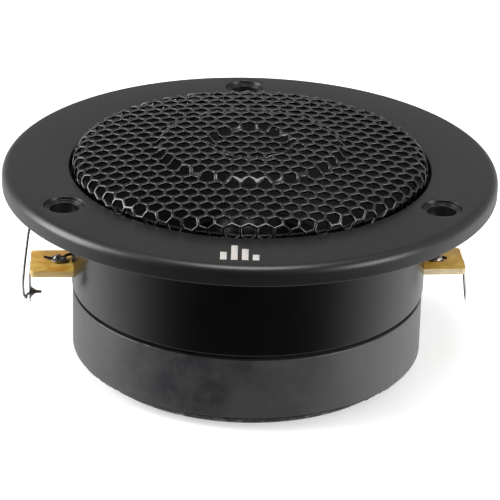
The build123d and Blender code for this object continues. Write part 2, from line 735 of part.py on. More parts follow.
# --- Everything ---------------------------------------------------------------------------------
def build_nodes():
    nodes = {
        "front_body": front_body(),
        "grille": grille(),
        "front_mark": front_mark(),
        "phase_plug": phase_plug(),
        "diaphragm_gasket": with_pin_holes(ring(GASKET_IN_R, RING_OUT_R, RING_TOP_Z, CLAMP_Z)),
        "diaphragm_ring": diaphragm_ring(),
        "surround": surround(),
        "dome": dome(),
        "coil_former": coil_former(),
        "voice_coil": voice_coil(),
        "damping_pad": rod(PAD_R, SEAT_Z, SEAT_Z + PAD_THICK),
        "top_plate": top_plate(),
        "body_screws": body_screws(),
        "locating_pins": locating_pins(),
        "glue_ring_front": ring(GLUE_IN_R, GLUE_FRONT_R, MAGNET_TOP_Z, TOP_PLATE_Z),
        "magnet": magnet(),
        "glue_ring_rear": ring(GLUE_IN_R, GLUE_REAR_R, REAR_PLATE_THICK, MAGNET_Z),
        "yoke": yoke(),
        "capacitor_case": capacitor_case(),
        "capacitor_seals": capacitor_seals(),
        "capacitor_glue": capacitor_glue(),
        "capacitor_lead_to_tab": capacitor_lead_to_tab(),
        "capacitor_lead_free": capacitor_lead_free(),
    }
    for side in TERMINAL_ANGLES:
        nodes[f"terminal_board_{side}"] = terminal_board(side)
        nodes[f"solder_tab_{side}"] = solder_tab(side)
        nodes[f"rivet_{side}"] = rivet(side)
        nodes[f"lead_out_{side}"] = lead_out(side)
        nodes[f"solder_joint_{side}"] = solder_joint(side, nodes[f"lead_out_{side}"])
    nodes["tab_solder_joint"] = tab_solder_joint(nodes["capacitor_lead_to_tab"])
    return nodes


os.makedirs("parts", exist_ok=True)
for name, shape in build_nodes().items():
    export_step(shape, f"parts/{name}.step")
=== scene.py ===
"""Looks of the car tweeter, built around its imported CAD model.

Outlines are in millimetres in the row frame and become metres in new_piece().  Round pieces are
lathed about Z; terminal pieces are drawn along +X and then turned to their side.
"""

import json
import math

import bmesh
import bpy
import numpy as np
from mathutils import Matrix, Vector, noise


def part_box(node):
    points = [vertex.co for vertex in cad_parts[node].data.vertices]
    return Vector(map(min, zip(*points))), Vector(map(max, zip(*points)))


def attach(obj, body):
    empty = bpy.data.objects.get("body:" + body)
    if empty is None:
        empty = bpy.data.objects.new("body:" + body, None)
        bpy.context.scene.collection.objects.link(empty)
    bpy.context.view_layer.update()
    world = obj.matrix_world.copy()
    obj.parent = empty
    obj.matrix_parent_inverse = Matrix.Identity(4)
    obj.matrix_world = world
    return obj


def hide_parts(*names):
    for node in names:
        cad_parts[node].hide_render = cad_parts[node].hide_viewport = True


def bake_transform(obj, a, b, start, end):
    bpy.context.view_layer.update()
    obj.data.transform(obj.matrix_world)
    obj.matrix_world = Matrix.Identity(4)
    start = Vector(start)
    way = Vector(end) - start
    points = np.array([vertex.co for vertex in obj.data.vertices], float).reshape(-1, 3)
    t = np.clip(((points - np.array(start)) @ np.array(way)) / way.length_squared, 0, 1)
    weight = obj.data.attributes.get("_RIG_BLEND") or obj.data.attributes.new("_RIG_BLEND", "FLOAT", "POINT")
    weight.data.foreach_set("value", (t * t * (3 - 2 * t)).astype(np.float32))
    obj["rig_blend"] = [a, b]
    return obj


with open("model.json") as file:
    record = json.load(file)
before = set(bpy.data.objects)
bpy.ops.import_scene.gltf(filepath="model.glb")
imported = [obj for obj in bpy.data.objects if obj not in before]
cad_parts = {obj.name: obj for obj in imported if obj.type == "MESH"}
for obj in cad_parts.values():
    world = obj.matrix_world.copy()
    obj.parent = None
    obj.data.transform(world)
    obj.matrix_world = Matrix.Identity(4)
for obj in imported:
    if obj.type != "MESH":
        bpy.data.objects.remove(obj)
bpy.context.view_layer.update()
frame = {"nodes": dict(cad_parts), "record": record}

MM = 0.001
FIXED_BODY = "tweeter"
MOVING_BODY = "diaphragm"


def span(node):
    low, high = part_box(node)
    return low / MM, high / MM


# --- Heights and radii read from the frame (mm) ---
FLANGE_R = span("front_body")[1].x
FACE_Z = span("front_body")[1].z
BARREL_Z = span("front_body")[0].z
MAGNET_R = span("magnet")[1].x
MAGNET_Z = span("magnet")[0].z
MAGNET_TOP_Z = span("magnet")[1].z
PLATE_R = span("yoke")[1].x
SEAT_Z = span("yoke")[1].z
PLATE_TOP_Z = span("glue_ring_rear")[0].z
RING_TOP_Z = span("diaphragm_ring")[1].z
CLAMP_Z = span("diaphragm_gasket")[1].z
PLUG_TIP_Z = span("phase_plug")[1].z
LEDGE_Z = span("phase_plug")[0].z
BOARD_TOP_Z = span("terminal_board_left")[1].z

# --- Sizes that the looks repeat from the design (mm) ---
FLANGE_Z = FACE_Z - 4.2
BARREL_TOP_R, BARREL_LOW_R = 38.1, 37.8
OPENING_R, GROOVE_IN_R = 38.2, 36.6
GROOVE_Z = FACE_Z - 2.2
HORN_MOUTH_R, HORN_MOUTH_Z = 36.0, FACE_Z - 0.2
HORN_START_R, HORN_START_Z = 15.6, LEDGE_Z + 1.2
HOLE_CIRCLE_R, HOLE_ANGLES = 44.7, (92.26, 212.26, 332.26)
TERMINAL_ANGLES = {"left": 183.8, "right": 4.8}
BOARD_IN_R, BOARD_OUT_R, BOARD_HALF = 27.4, 46.6, 5.5
RIVET_R_POS, RIVET_HEAD_R, RIVET_SHANK_R, RIVET_BORE_R = 40.6, 1.3, 1.1, 0.5
RIVET_SHIFT = {"left": 0.1, "right": -0.5}
TAB_THICK, TAB_HALF, TAB_EYE_Z, TAB_TIP_Z = 0.3, 3.15, 14.5, SEAT_Z - 7.8
TAB_IN_R, TAB_PIVOT = 38.9, (41.2, -0.3)
TAB_SKEW = {"left": 0.0, "right": -9.6}
TAB_SPLAY = {"left": 0.0, "right": 0.11}

GLUE_IN_R, MAGNET_BORE_R, POLE_R = 17.0, 16.0, 12.3
DOME_R, DOME_RISE, DOME_THICK = 12.75, 4.6, 0.2
LEAD_WIRE_R, CAP_LEAD_R = 0.3, 0.28

MESH_R = 37.6
MESH_PITCH, MESH_OPENING, MESH_THICK, MESH_EDGE = 3.43, 2.75, 0.7, 0.26
MESH_TURN, MESH_OFFSET = math.radians(0.8), (1.24, 0.09)
MESH_APEX_Z, MESH_CROWN_R, MESH_BEND_R = FACE_Z + 4.7, 332.0, 2.4
EMBOSS_IN_R, EMBOSS_OUT_R, EMBOSS_FLANK, EMBOSS_HEIGHT = 9.3, 18.7, 1.5, 1.1


# --- Mesh tools ---
def put(name, data):
    """New object in the scene."""
    obj = bpy.data.objects.new(name, data)
    bpy.context.scene.collection.objects.link(obj)
    return obj


def moved(x, y, z=0):
    """Matrix of a shift in millimetres."""
    return Matrix.Translation(Vector((x, y, z)) * MM)


def rotation(degrees, axis):
    return Matrix.Rotation(math.radians(degrees), 4, axis)


def new_piece(name, verts, faces, smooth_angle=32):
    """Mesh object from millimetre vertices, with smooth shading broken at sharp edges."""
    mesh = bpy.data.meshes.new(name)
    mesh.from_pydata([tuple(c * MM for c in v) for v in verts], [], faces)
    obj = put(name, mesh)
    clean(obj)
    soften(obj, smooth_angle)
    return obj


def clean(obj):
    work = bmesh.new()
    work.from_mesh(obj.data)
    bmesh.ops.remove_doubles(work, verts=work.verts, dist=1e-7)
    bmesh.ops.recalc_face_normals(work, faces=work.faces)
    work.to_mesh(obj.data)
    work.free()


def soften(obj, angle=32):
    obj.data.polygons.foreach_set("use_smooth", [True] * len(obj.data.polygons))
    obj.data.set_sharp_from_angle(angle=math.radians(angle))
    obj.data.update()


def bake(obj):
    """Applies the object's modifiers or curve bevel to a plain mesh object."""
    evaluated = obj.evaluated_get(bpy.context.evaluated_depsgraph_get())
    mesh = bpy.data.meshes.new_from_object(evaluated)
    if obj.type == "MESH":
        obj.modifiers.clear()
        obj.data = mesh
        return obj
    name = obj.name
    bpy.data.objects.remove(obj)
    return put(name, mesh)


def combine(target, tools, operation="DIFFERENCE", smooth_angle=32):
    for tool in tools:
        modifier = target.modifiers.new("combine", "BOOLEAN")
        modifier.operation = operation
        modifier.solver = "EXACT"
        modifier.object = tool
        bake(target)
        bpy.data.objects.remove(tool)
    soften(target, smooth_angle)
    return target


def turn(obj, degrees, shift=(0, 0, 0)):
    """Moves the mesh by a millimetre shift and then turns it about the part's axis."""
    obj.data.transform(rotation(degrees, "Z") @ moved(*shift))
    return obj


def rounded(corners, steps=5):
    """Closed outline from (x, y, corner radius) entries, each corner turned into an arc."""
    outline = []
    for i, (x, y, radius) in enumerate(corners):
        here = Vector((x, y))
        if not radius:
            outline.append((x, y))
            continue
        to_last = (Vector(corners[i - 1][:2]) - here).normalized()
        to_next = (Vector(corners[(i + 1) % len(corners)][:2]) - here).normalized()
        half = to_last.angle(to_next) / 2
        centre = here + (to_last + to_next).normalized() * radius / math.sin(half)
        start = here + to_last * radius / math.tan(half) - centre
        end = here + to_next * radius / math.tan(half) - centre
        sweep = math.atan2(start.x * end.y - start.y * end.x, start.dot(end))
        for k in range(steps + 1):
            angle = sweep * k / steps
            cos, sin = math.cos(angle), math.sin(angle)
            outline.append((
                centre.x + start.x * cos - start.y * sin,
                centre.y + start.x * sin + start.y * cos,
            ))
    return outline


def lathe(name, outline, segments=192, smooth_angle=32, wobble=None):
    """Closed (radius, height) outline turned about Z.  wobble(angle, r, z) may move each point."""
    verts, rings = [], []
    for radius, height in outline:
        if radius < 1e-6:
            rings.append([len(verts)])
            verts.append((0, 0, height))
            continue
        rings.append(list(range(len(verts), len(verts) + segments)))
        for i in range(segments):
            angle = 2 * math.pi * i / segments
            r, z = wobble(angle, radius, height) if wobble else (radius, height)
            verts.append((r * math.cos(angle), r * math.sin(angle), z))
    faces = []
    for a, b in zip(rings, rings[1:] + rings[:1]):
        if len(a) == 1 and len(b) == 1:
            continue
        for i in range(segments):
            j = (i + 1) % segments
            if len(a) == 1:
                faces.append((a[0], b[j], b[i]))
            elif len(b) == 1:
                faces.append((a[i], a[j], b[0]))
            else:
                faces.append((a[i], a[j], b[j], b[i]))
    return new_piece(name, verts, faces, smooth_angle)


def slab(name, outline, low, high, bevel=0.0, smooth_angle=32):
    """Flat plate from an (x, y) outline, with a small bevel on every edge."""
    count = len(outline)
    verts = [(x, y, low) for x, y in outline] + [(x, y, high) for x, y in outline]
    faces = [tuple(range(count))[::-1], tuple(range(count, 2 * count))]
    faces += [(i, (i + 1) % count, count + (i + 1) % count, count + i) for i in range(count)]
    obj = new_piece(name, verts, faces, smooth_angle)
    if bevel:
        modifier = obj.modifiers.new("edge", "BEVEL")
        modifier.width = bevel * MM
        modifier.segments = 2
        modifier.limit_method = "ANGLE"
        modifier.angle_limit = math.radians(40)
        bake(obj)
        soften(obj, smooth_angle)
    return obj


def box_outline(x_low, x_high, y_low, y_high, radius=0.0):
    corners = [(x_low, y_low), (x_high, y_low), (x_high, y_high), (x_low, y_high)]
    return rounded([(x, y, radius) for x, y in corners])


def wire(name, points, radius, taper=None):
    """Round wire along a smooth curve with the given control points."""
    curve = bpy.data.curves.new(name, "CURVE")
    curve.dimensions = "3D"
    curve.bevel_depth = radius * MM
    curve.bevel_resolution = 6
    curve.use_fill_caps = True
    curve.resolution_u = 10
    spline = curve.splines.new("NURBS")
    spline.points.add(len(points) - 1)
    for i, point in enumerate(points):
        spline.points[i].co = (*(c * MM for c in point), 1)
        spline.points[i].radius = taper[i] if taper else 1
    spline.order_u = 3
    spline.use_endpoint_u = True
    obj = bake(put(name, curve))
    clean(obj)
    soften(obj, 50)
    return obj


def roughen(obj, amount, size, seed=0.0, only=None):
    """Pushes vertices along their normals by smooth noise: amount and feature size in millimetres."""
    for vertex in obj.data.vertices:
        point = vertex.co / MM
        if only and not only(point):
            continue
        lump = noise.noise(point / size + Vector((seed, seed * 1.7, seed * 0.3)))
        vertex.co += vertex.normal * lump * amount * MM
    obj.data.update()
    return obj


def blob(name, radii, centre, floor_z, lump, seed, detail=4):
    """Rounded lump with a flat underside at floor_z, all in millimetres."""
    work = bmesh.new()
    bmesh.ops.create_icosphere(work, subdivisions=detail, radius=1.0)
    for vertex in work.verts:
        shape = 1 + lump * noise.noise(vertex.co * 1.6 + Vector((seed, 0, seed)))
        x, y, z = (vertex.co[i] * radii[i] * shape + centre[i] for i in range(3))
        vertex.co = Vector((x, y, max(z, floor_z))) * MM
    mesh = bpy.data.meshes.new(name)
    work.to_mesh(mesh)
    work.free()
    obj = put(name, mesh)
    clean(obj)
    soften(obj, 50)
    return obj


# --- Materials ---
def grey(value):
    return (value, value, value)


class Nodes:
    """A node tree with shortcuts for making and linking nodes."""

    def __init__(self, tree):
        self.tree = tree

    def node(self, kind, **settings):
        made = self.tree.nodes.new(kind)
        for key, value in settings.items():
            setattr(made, key, value)
        return made

    def link(self, source, target):
        self.tree.links.new(source, target)

    def remap(self, value, low, high, to_low, to_high, **settings):
        made = self.node("ShaderNodeMapRange", **settings)
        for socket, number in zip(("From Min", "From Max", "To Min", "To Max"), (low, high, to_low, to_high)):
            made.inputs[socket].default_value = number
        self.link(value, made.inputs["Value"])
        return made.outputs["Result"]

    def mix(self, factor, first, second):
        """Colour mix of two colours or colour sockets."""
        made = self.node("ShaderNodeMix", data_type="RGBA")
        self.link(factor, made.inputs[0])
        for socket, value in ((made.inputs[6], first), (made.inputs[7], second)):
            if isinstance(value, tuple):
                socket.default_value = (*value, 1)
            else:
                self.link(value, socket)
        return made.outputs[2]


class Material(Nodes):
    """A Principled material under construction.  Texture coordinates are in millimetres."""

    def __init__(self, name, color, roughness, metallic=0.0, **sockets):
        self.data = bpy.data.materials.new(name)
        self.data.use_nodes = True
        super().__init__(self.data.node_tree)
        self.shader = self.tree.nodes["Principled BSDF"]
        self.shader.inputs["Base Color"].default_value = (*color, 1)
        self.shader.inputs["Roughness"].default_value = roughness
        self.shader.inputs["Metallic"].default_value = metallic
        for socket, value in sockets.items():
            self.shader.inputs[socket.replace("_", " ")].default_value = value
        coordinates = self.node("ShaderNodeTexCoord")
        self.place = self.node("ShaderNodeMapping")
        self.place.inputs["Scale"].default_value = (1 / MM,) * 3
        self.link(coordinates.outputs["Object"], self.place.inputs["Vector"])

    def stretched(self, x, y, z):
        """Millimetre coordinates scaled along each axis, for streaks."""
        mapping = self.node("ShaderNodeMapping")
        mapping.inputs["Scale"].default_value = (x, y, z)
        self.link(self.place.outputs["Vector"], mapping.inputs["Vector"])
        return mapping.outputs["Vector"]

    def noise(self, per_mm, detail=3.0, roughness=0.5, vector=None):
        made = self.node("ShaderNodeTexNoise")
        made.inputs["Scale"].default_value = per_mm
        made.inputs["Detail"].default_value = detail
        made.inputs["Roughness"].default_value = roughness
        self.link(vector or self.place.outputs["Vector"], made.inputs["Vector"])
        return made.outputs["Fac"]

    def cells(self, per_mm):
        made = self.node("ShaderNodeTexVoronoi")
        made.inputs["Scale"].default_value = per_mm
        self.link(self.place.outputs["Vector"], made.inputs["Vector"])
        return made.outputs["Distance"]

    def color(self, socket):
        self.link(socket, self.shader.inputs["Base Color"])

    def roughness(self, pattern, low, high):
        """Roughness between low and high, following a noise pattern."""
        self.link(self.remap(pattern, 0.3, 0.7, low, high), self.shader.inputs["Roughness"])

    def bump(self, height, depth_mm, strength=1.0):
        made = self.node("ShaderNodeBump")
        made.inputs["Strength"].default_value = strength
        made.inputs["Distance"].default_value = depth_mm * MM
        self.link(height, made.inputs["Height"])
        last = self.shader.inputs["Normal"].links
        if last:
            self.link(last[0].from_socket, made.inputs["Normal"])
        self.link(made.outputs["Normal"], self.shader.inputs["Normal"])

    def along(self, axis, low_mm, high_mm):
        """0 below low_mm and 1 above high_mm, along an axis."""
        split = self.node("ShaderNodeSeparateXYZ")
        self.link(self.place.outputs["Vector"], split.inputs["Vector"])
        return self.remap(split.outputs[axis], low_mm, high_mm, 0, 1)

    def edge_highlight_mask(self, low=0.52, high=0.62):
        """1 on convex edges."""
        geometry = self.node("ShaderNodeNewGeometry")
        return self.remap(geometry.outputs["Pointiness"], low, high, 0, 1)

    def facing_up(self):
        """1 where the surface is level, 0 where it stands upright."""
        geometry = self.node("ShaderNodeNewGeometry")
        split = self.node("ShaderNodeSeparateXYZ")
        self.link(geometry.outputs["True Normal"], split.inputs["Vector"])
        size = self.node("ShaderNodeMath", operation="ABSOLUTE")
        self.link(split.outputs["Z"], size.inputs[0])
        return self.remap(size.outputs[0], 0.3, 0.7, 0, 1)


def casting_paint():
    """Black powder coat with a fine grain."""
    made = Material("casting_paint", grey(0.005), 0.35)
    patches = made.noise(0.06, 4)
    made.color(made.mix(patches, (0.0040, 0.0040, 0.0043), (0.0065, 0.0065, 0.0066)))
    grain = made.noise(3.2, 3, 0.6)
    made.roughness(grain, 0.32, 0.38)
    made.bump(grain, 0.006, 0.4)
    made.bump(made.noise(0.45, 2), 0.03, 0.2)
    return made.data


def barrel_paint():
    """The same coat on the barrel, where it has flowed out smoother, and darker as painted shade."""
    # Painted shade: the barrel's black is a darker copy of the casting's.
    made = Material("barrel_paint", (0.0012, 0.0012, 0.0013), 0.24, Specular_IOR_Level=0.36)
    patches = made.noise(0.09, 3)
    made.color(made.mix(patches, (0.0008, 0.0008, 0.0010), (0.0018, 0.0018, 0.0019)))
    made.roughness(patches, 0.21, 0.27)
    made.bump(made.noise(0.3, 2), 0.02, 0.15)
    return made.data


def horn_paint():
    """Matt black inside the horn."""
    made = Material("horn_paint", grey(0.0015), 0.6, Specular_IOR_Level=0.12)
    grain = made.noise(2.0, 3)
    made.color(made.mix(grain, grey(0.001), grey(0.002)))
    made.roughness(grain, 0.5, 0.7)
    made.bump(grain, 0.01, 0.4)
    return made.data


def mesh_paint():
    made = Material("mesh_paint", grey(0.002), 0.27, Specular_IOR_Level=0.65)
    grain = made.noise(2.4, 3)
    made.color(made.mix(made.noise(0.15, 3), (0.0012, 0.0012, 0.0013), (0.0028, 0.0028, 0.0029)))
    made.roughness(grain, 0.21, 0.33)
    made.bump(grain, 0.02, 0.5)
    return made.data


def ferrite():
    """Ground ceramic: dark grey with soft bluish and brownish clouds and a few pits."""
    made = Material("ferrite", (0.024, 0.024, 0.026), 0.38)
    clouds = made.noise(0.09, 5, 0.6)
    base = made.mix(made.remap(clouds, 0.36, 0.62, 0, 1), (0.012, 0.013, 0.016), (0.029, 0.028, 0.027))
    tone = made.remap(made.noise(0.5, 4, 0.6), 0.45, 0.75, 0, 0.45)
    base = made.mix(tone, base, (0.040, 0.039, 0.040))
    # Painted light: the ferrite is lighter towards its +X side.
    painted_light_side = made.remap(made.along("X", 4, 20), 0, 1, 0, 0.55)
    base = made.mix(painted_light_side, base, (0.056, 0.055, 0.056))
    pits = made.remap(made.cells(0.6), 0.0, 0.05, 0.7, 0)
    made.color(made.mix(pits, base, grey(0.006)))
    made.roughness(clouds, 0.33, 0.44)
    made.bump(made.noise(0.5, 3), 0.02, 0.2)
    made.bump(made.noise(4.0, 2), 0.008, 0.4)
    return made.data


def plate_paint():
    """Dark grey coated steel of the rear plate, with a painted highlight in patches along its edge."""
    made = Material("plate_paint", (0.03, 0.03, 0.031), 0.42)
    scuffs = made.noise(0.7, 6, 0.7)
    patches = made.noise(0.35, 5, 0.65)
    base = made.mix(made.remap(scuffs, 0.45, 0.7, 0, 1), (0.030, 0.030, 0.031), (0.085, 0.085, 0.087))
    # Painted highlight: light grey patches on the plate's convex edges.
    painted_edge_highlight = made.mix(made.remap(patches, 0.5, 0.62, 0, 1), grey(0.03), grey(0.34))
    made.color(made.mix(made.remap(made.edge_highlight_mask(0.5, 0.56), 0, 1, 0, 0.8), base, painted_edge_highlight))
    made.roughness(scuffs, 0.25, 0.6)
    made.bump(patches, 0.25, 0.8)
    made.bump(scuffs, 0.08, 0.8)
    return made.data


def black_adhesive():
    made = Material("black_adhesive", grey(0.002), 0.4, Specular_IOR_Level=0.3)
    lumps = made.noise(1.1, 4)
    made.color(made.mix(lumps, grey(0.001), grey(0.004)))
    made.roughness(lumps, 0.25, 0.6)
    made.bump(lumps, 0.15, 0.6)
    return made.data


def paper_laminate():
    """Yellow-brown phenolic board: mottled resin on its faces, paler layers at its cut edges."""
    made = Material("paper_laminate", (0.52, 0.30, 0.05), 0.42)
    resin = made.noise(0.35, 5, 0.55)
    face = made.mix(made.remap(resin, 0.32, 0.68, 0, 1), (0.56, 0.30, 0.030), (0.82, 0.55, 0.12))
    scorch = made.remap(made.noise(0.3, 2), 0.5, 0.68, 0, 0.6)
    face = made.mix(scorch, face, (0.60, 0.22, 0.015))
    layers = made.remap(made.noise(1.0, 2, 0.5, made.stretched(0.35, 0.35, 7.0)), 0.3, 0.7, 0, 1)
    left_cut = made.mix(layers, (0.40, 0.26, 0.075), (0.60, 0.43, 0.16))
    right_cut = made.mix(layers, (0.42, 0.32, 0.175), (0.57, 0.48, 0.30))
    cut = made.mix(made.along("X", -10, 10), left_cut, right_cut)
    made.color(made.mix(made.facing_up(), cut, face))
    made.roughness(resin, 0.32, 0.5)
    made.bump(layers, 0.04, 0.4)
    made.bump(made.noise(2.0, 3), 0.02, 0.3)
    return made.data


def metal(name, dark, light, roughness, per_mm=1.2, dents=0.02):
    """Bare metal with tarnish between two tones."""
    made = Material(name, light, roughness, 1.0)
    tarnish = made.noise(per_mm, 5, 0.6)
    made.color(made.mix(made.remap(tarnish, 0.35, 0.7, 0, 1), light, dark))
    made.roughness(tarnish, roughness * 0.75, roughness * 1.4)
    made.bump(made.noise(per_mm * 2, 3), dents, 0.5)
    return made.data


def turned_metal(name, dark, light, roughness):
    """Metal with fine rings left by the lathe or by winding."""
    made = Material(name, light, roughness, 1.0)
    rings = made.node("ShaderNodeTexWave", wave_type="RINGS", rings_direction="Z")
    rings.inputs["Scale"].default_value = 1.6
    rings.inputs["Distortion"].default_value = 0.6
    made.link(made.place.outputs["Vector"], rings.inputs["Vector"])
    tarnish = made.noise(0.4, 4)
    made.color(made.mix(tarnish, light, dark))
    made.roughness(tarnish, roughness * 0.8, roughness * 1.3)
    made.bump(rings.outputs["Fac"], 0.02, 0.3)
    return made.data


def foil():
    """Silver-white printed foil."""
    made = Material("foil", (0.47, 0.445, 0.42), 0.34, 0.25)
    made.color(made.mix(made.noise(1.5, 3), (0.43, 0.405, 0.38), (0.53, 0.50, 0.475)))
    made.roughness(made.noise(5.0, 2), 0.28, 0.42)
    made.bump(made.noise(6.0, 2), 0.006, 0.5)
    return made.data


def plastic(name, color, roughness, per_mm=1.5, **sockets):
    made = Material(name, color, roughness, **sockets)
    grain = made.noise(per_mm, 4)
    shade = tuple(c * 0.7 for c in color)
    tint = tuple(min(1.0, c * 1.35) for c in color)
    made.color(made.mix(grain, shade, tint))
    made.roughness(grain, roughness * 0.8, roughness * 1.25)
    made.bump(grain, 0.015, 0.4)
    return made.data


def felt():
    made = Material("felt", grey(0.10), 0.95, Sheen_Weight=0.4)
    fibres = made.noise(3.0, 6, 0.75, made.stretched(1, 0.25, 1))
    made.color(made.mix(fibres, grey(0.05), (0.19, 0.19, 0.18)))
    made.bump(fibres, 0.25, 0.8)
    return made.data


def coated_cloth():
    """Fine woven cloth with a brown doping coat."""
    made = Material("coated_cloth", (0.02, 0.013, 0.008), 0.5)
    weave = made.node("ShaderNodeTexWave", wave_type="BANDS", bands_direction="DIAGONAL")
    weave.inputs["Scale"].default_value = 3.0
    made.link(made.place.outputs["Vector"], weave.inputs["Vector"])
    made.color(made.mix(weave.outputs["Fac"], (0.012, 0.008, 0.005), (0.028, 0.018, 0.011)))
    made.bump(weave.outputs["Fac"], 0.03, 0.4)
    made.bump(made.noise(1.0, 3), 0.03, 0.3)
    return made.data


def winding():
    """Enamelled copper turns, stacked along Z."""
    made = Material("winding", (0.55, 0.25, 0.10), 0.3, 0.9)
    turns = made.node("ShaderNodeTexWave", wave_type="BANDS", bands_direction="Z", wave_profile="SIN")
    turns.inputs["Scale"].default_value = 1.9
    made.link(made.place.outputs["Vector"], turns.inputs["Vector"])
    made.color(made.mix(turns.outputs["Fac"], (0.22, 0.07, 0.03), (0.62, 0.30, 0.12)))
    made.bump(turns.outputs["Fac"], 0.06, 0.9)
    return made.data


def floor_finish():
    made = Material("studio_floor", grey(0.86), 0.9)
    made.color(made.mix(made.noise(0.004, 2), grey(0.855), grey(0.875)))
    made.shader.inputs["Emission Color"].default_value = (1, 1, 1, 1)
    made.shader.inputs["Emission Strength"].default_value = 0.4
    return made.data


def make_materials():
    return {
        "casting": casting_paint(),
        "mesh": mesh_paint(),
        "mark": foil(),
        "plug": plastic("plug_plastic", grey(0.004), 0.3, Specular_IOR_Level=0.12),
        "gasket": plastic("foam_gasket", grey(0.03), 0.85, 4.0),
        "ring_plastic": plastic("ring_plastic", (0.035, 0.035, 0.036), 0.45),
        "surround": coated_cloth(),
        "dome": turned_metal("dome_foil", (0.20, 0.20, 0.21), (0.34, 0.34, 0.35), 0.26),
        "former": turned_metal("former_foil", (0.45, 0.45, 0.46), (0.65, 0.65, 0.66), 0.35),
        "coil": winding(),
        "felt": felt(),
        "steel": plate_paint(),
        "screw_steel": turned_metal("zinc_screw", (0.35, 0.35, 0.33), (0.55, 0.55, 0.53), 0.35),
        "pin_steel": turned_metal("pin_steel", (0.40, 0.40, 0.41), grey(0.60), 0.25),
        "glue": black_adhesive(),
        "ferrite": ferrite(),
        "board": paper_laminate(),
        "tinned": metal("tinned_brass", (0.52, 0.50, 0.47), (0.82, 0.81, 0.79), 0.22),
        "lead_wire": metal("dark_lead", (0.035, 0.028, 0.022), (0.12, 0.10, 0.085), 0.4),
        "solder": metal("solder", (0.16, 0.13, 0.11), (0.55, 0.54, 0.53), 0.36, 1.1, 0.08),
        "capacitor": plastic("capacitor_sleeve", (0.010, 0.018, 0.045), 0.25),
        "seal": plastic("potting_resin", grey(0.02), 0.3),
        "bed_glue": plastic("hot_melt", (0.30, 0.22, 0.12), 0.4),
        "component_lead": metal("component_lead", grey(0.07), grey(0.22), 0.3),
    }


def finish_piece(obj, slot, nodes, body=FIXED_BODY, rides=True):
    """Gives a new piece its material, hides the CAD nodes that it stands for, and hangs it on its body if it
    rides.
    """
    obj.data.materials.clear()
    obj.data.materials.append(MATERIALS[slot])
    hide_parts(*nodes)
    if rides:
        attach(obj, body)
    return obj


# --- Front casting ---
def horn_flare(steps=28):
    rate = math.log(HORN_MOUTH_R / HORN_START_R) / (HORN_MOUTH_Z - HORN_START_Z)
    heights = [HORN_START_Z + (HORN_MOUTH_Z - HORN_START_Z) * i / steps for i in range(1, steps)]
    return [(HORN_START_R * math.exp(rate * (z - HORN_START_Z)), z) for z in heights]


def screw_hole_cutter(name):
    """Through hole with two shallow steps at its mouth, whose edge is softly rounded."""
    mouth_r, step_z, lip = 4.2, FACE_Z - 0.5, 0.2
    inner_step_z = step_z - 0.3
    outline = rounded([
        (0, FLANGE_Z - 1, 0), (3.25, FLANGE_Z - 1, 0), (3.25, FLANGE_Z, 0.0), (3.0, FLANGE_Z + 0.25, 0),
        (3.0, inner_step_z, 0.12), (3.55, inner_step_z, 0.08), (3.55, step_z, 0.1), (mouth_r, step_z, 0.12),
    ])
    for k in range(7):
        angle = math.pi / 2 * k / 6
        outline.append((mouth_r + lip - lip * math.cos(angle), FACE_Z - lip + lip * math.sin(angle)))
    outline += [(mouth_r + lip, FACE_Z + 1), (0, FACE_Z + 1)]
    return lathe(name, outline, 96)


def paint_regions(casting):
    """Barrel and horn of the casting have coats of their own; the barrel's is darker as painted shade."""
    casting.data.materials.append(barrel_paint())
    casting.data.materials.append(horn_paint())
    for polygon in casting.data.polygons:
        x, y, z = polygon.center / MM
        radius = math.hypot(x, y)
        if radius > BARREL_LOW_R - 2 and z < FLANGE_Z:
            polygon.material_index = 1
        elif radius < OPENING_R and z < HORN_MOUTH_Z - 0.1:
            polygon.material_index = 2


def front_casting():
    recess_r, hollow_r, hollow_top_z = 34.8, 33.0, 35.0
    clamp_r, shelf_z, throat_r, throat_z, seat_r = 24.0, 29.5, 18.7, 24.7, 13.6
    outline = rounded([
        (HORN_MOUTH_R, HORN_MOUTH_Z, 0), (GROOVE_IN_R, HORN_MOUTH_Z, 0.2), (GROOVE_IN_R, GROOVE_Z, 0.1),
        (OPENING_R, GROOVE_Z, 0.2), (OPENING_R, FACE_Z, 0.45),
        (FLANGE_R, FACE_Z, 1.9), (FLANGE_R, FLANGE_Z, 0.35), (BARREL_TOP_R, FLANGE_Z, 0.8),
        (BARREL_LOW_R, BARREL_Z, 0.55), (recess_r, BARREL_Z, 0.2), (recess_r, SEAT_Z, 0),
        (hollow_r, SEAT_Z, 0), (hollow_r, hollow_top_z, 1.0), (clamp_r, shelf_z, 1.0), (clamp_r, CLAMP_Z, 0),
        (throat_r, CLAMP_Z, 0), (throat_r, throat_z, 0), (seat_r, throat_z, 0), (seat_r, LEDGE_Z, 0),
        (HORN_START_R, LEDGE_Z, 0),
        (HORN_START_R, HORN_START_Z, 0),
    ], 8)
    body = lathe("front_casting", outline + horn_flare(), 320)
    cutters = [turn(screw_hole_cutter("hole"), angle, (HOLE_CIRCLE_R, 0, 0)) for angle in HOLE_ANGLES]
    for angle in TERMINAL_ANGLES.values():
        window = box_outline(29.0, FLANGE_R, -BOARD_HALF - 0.3, BOARD_HALF + 0.3)
        cutters.append(turn(slab("slot", window, SEAT_Z - 0.1, SEAT_Z + 2.6), angle))
    combine(body, cutters)
    finish_piece(body, "casting", ["front_body"])
    paint_regions(body)
    return body


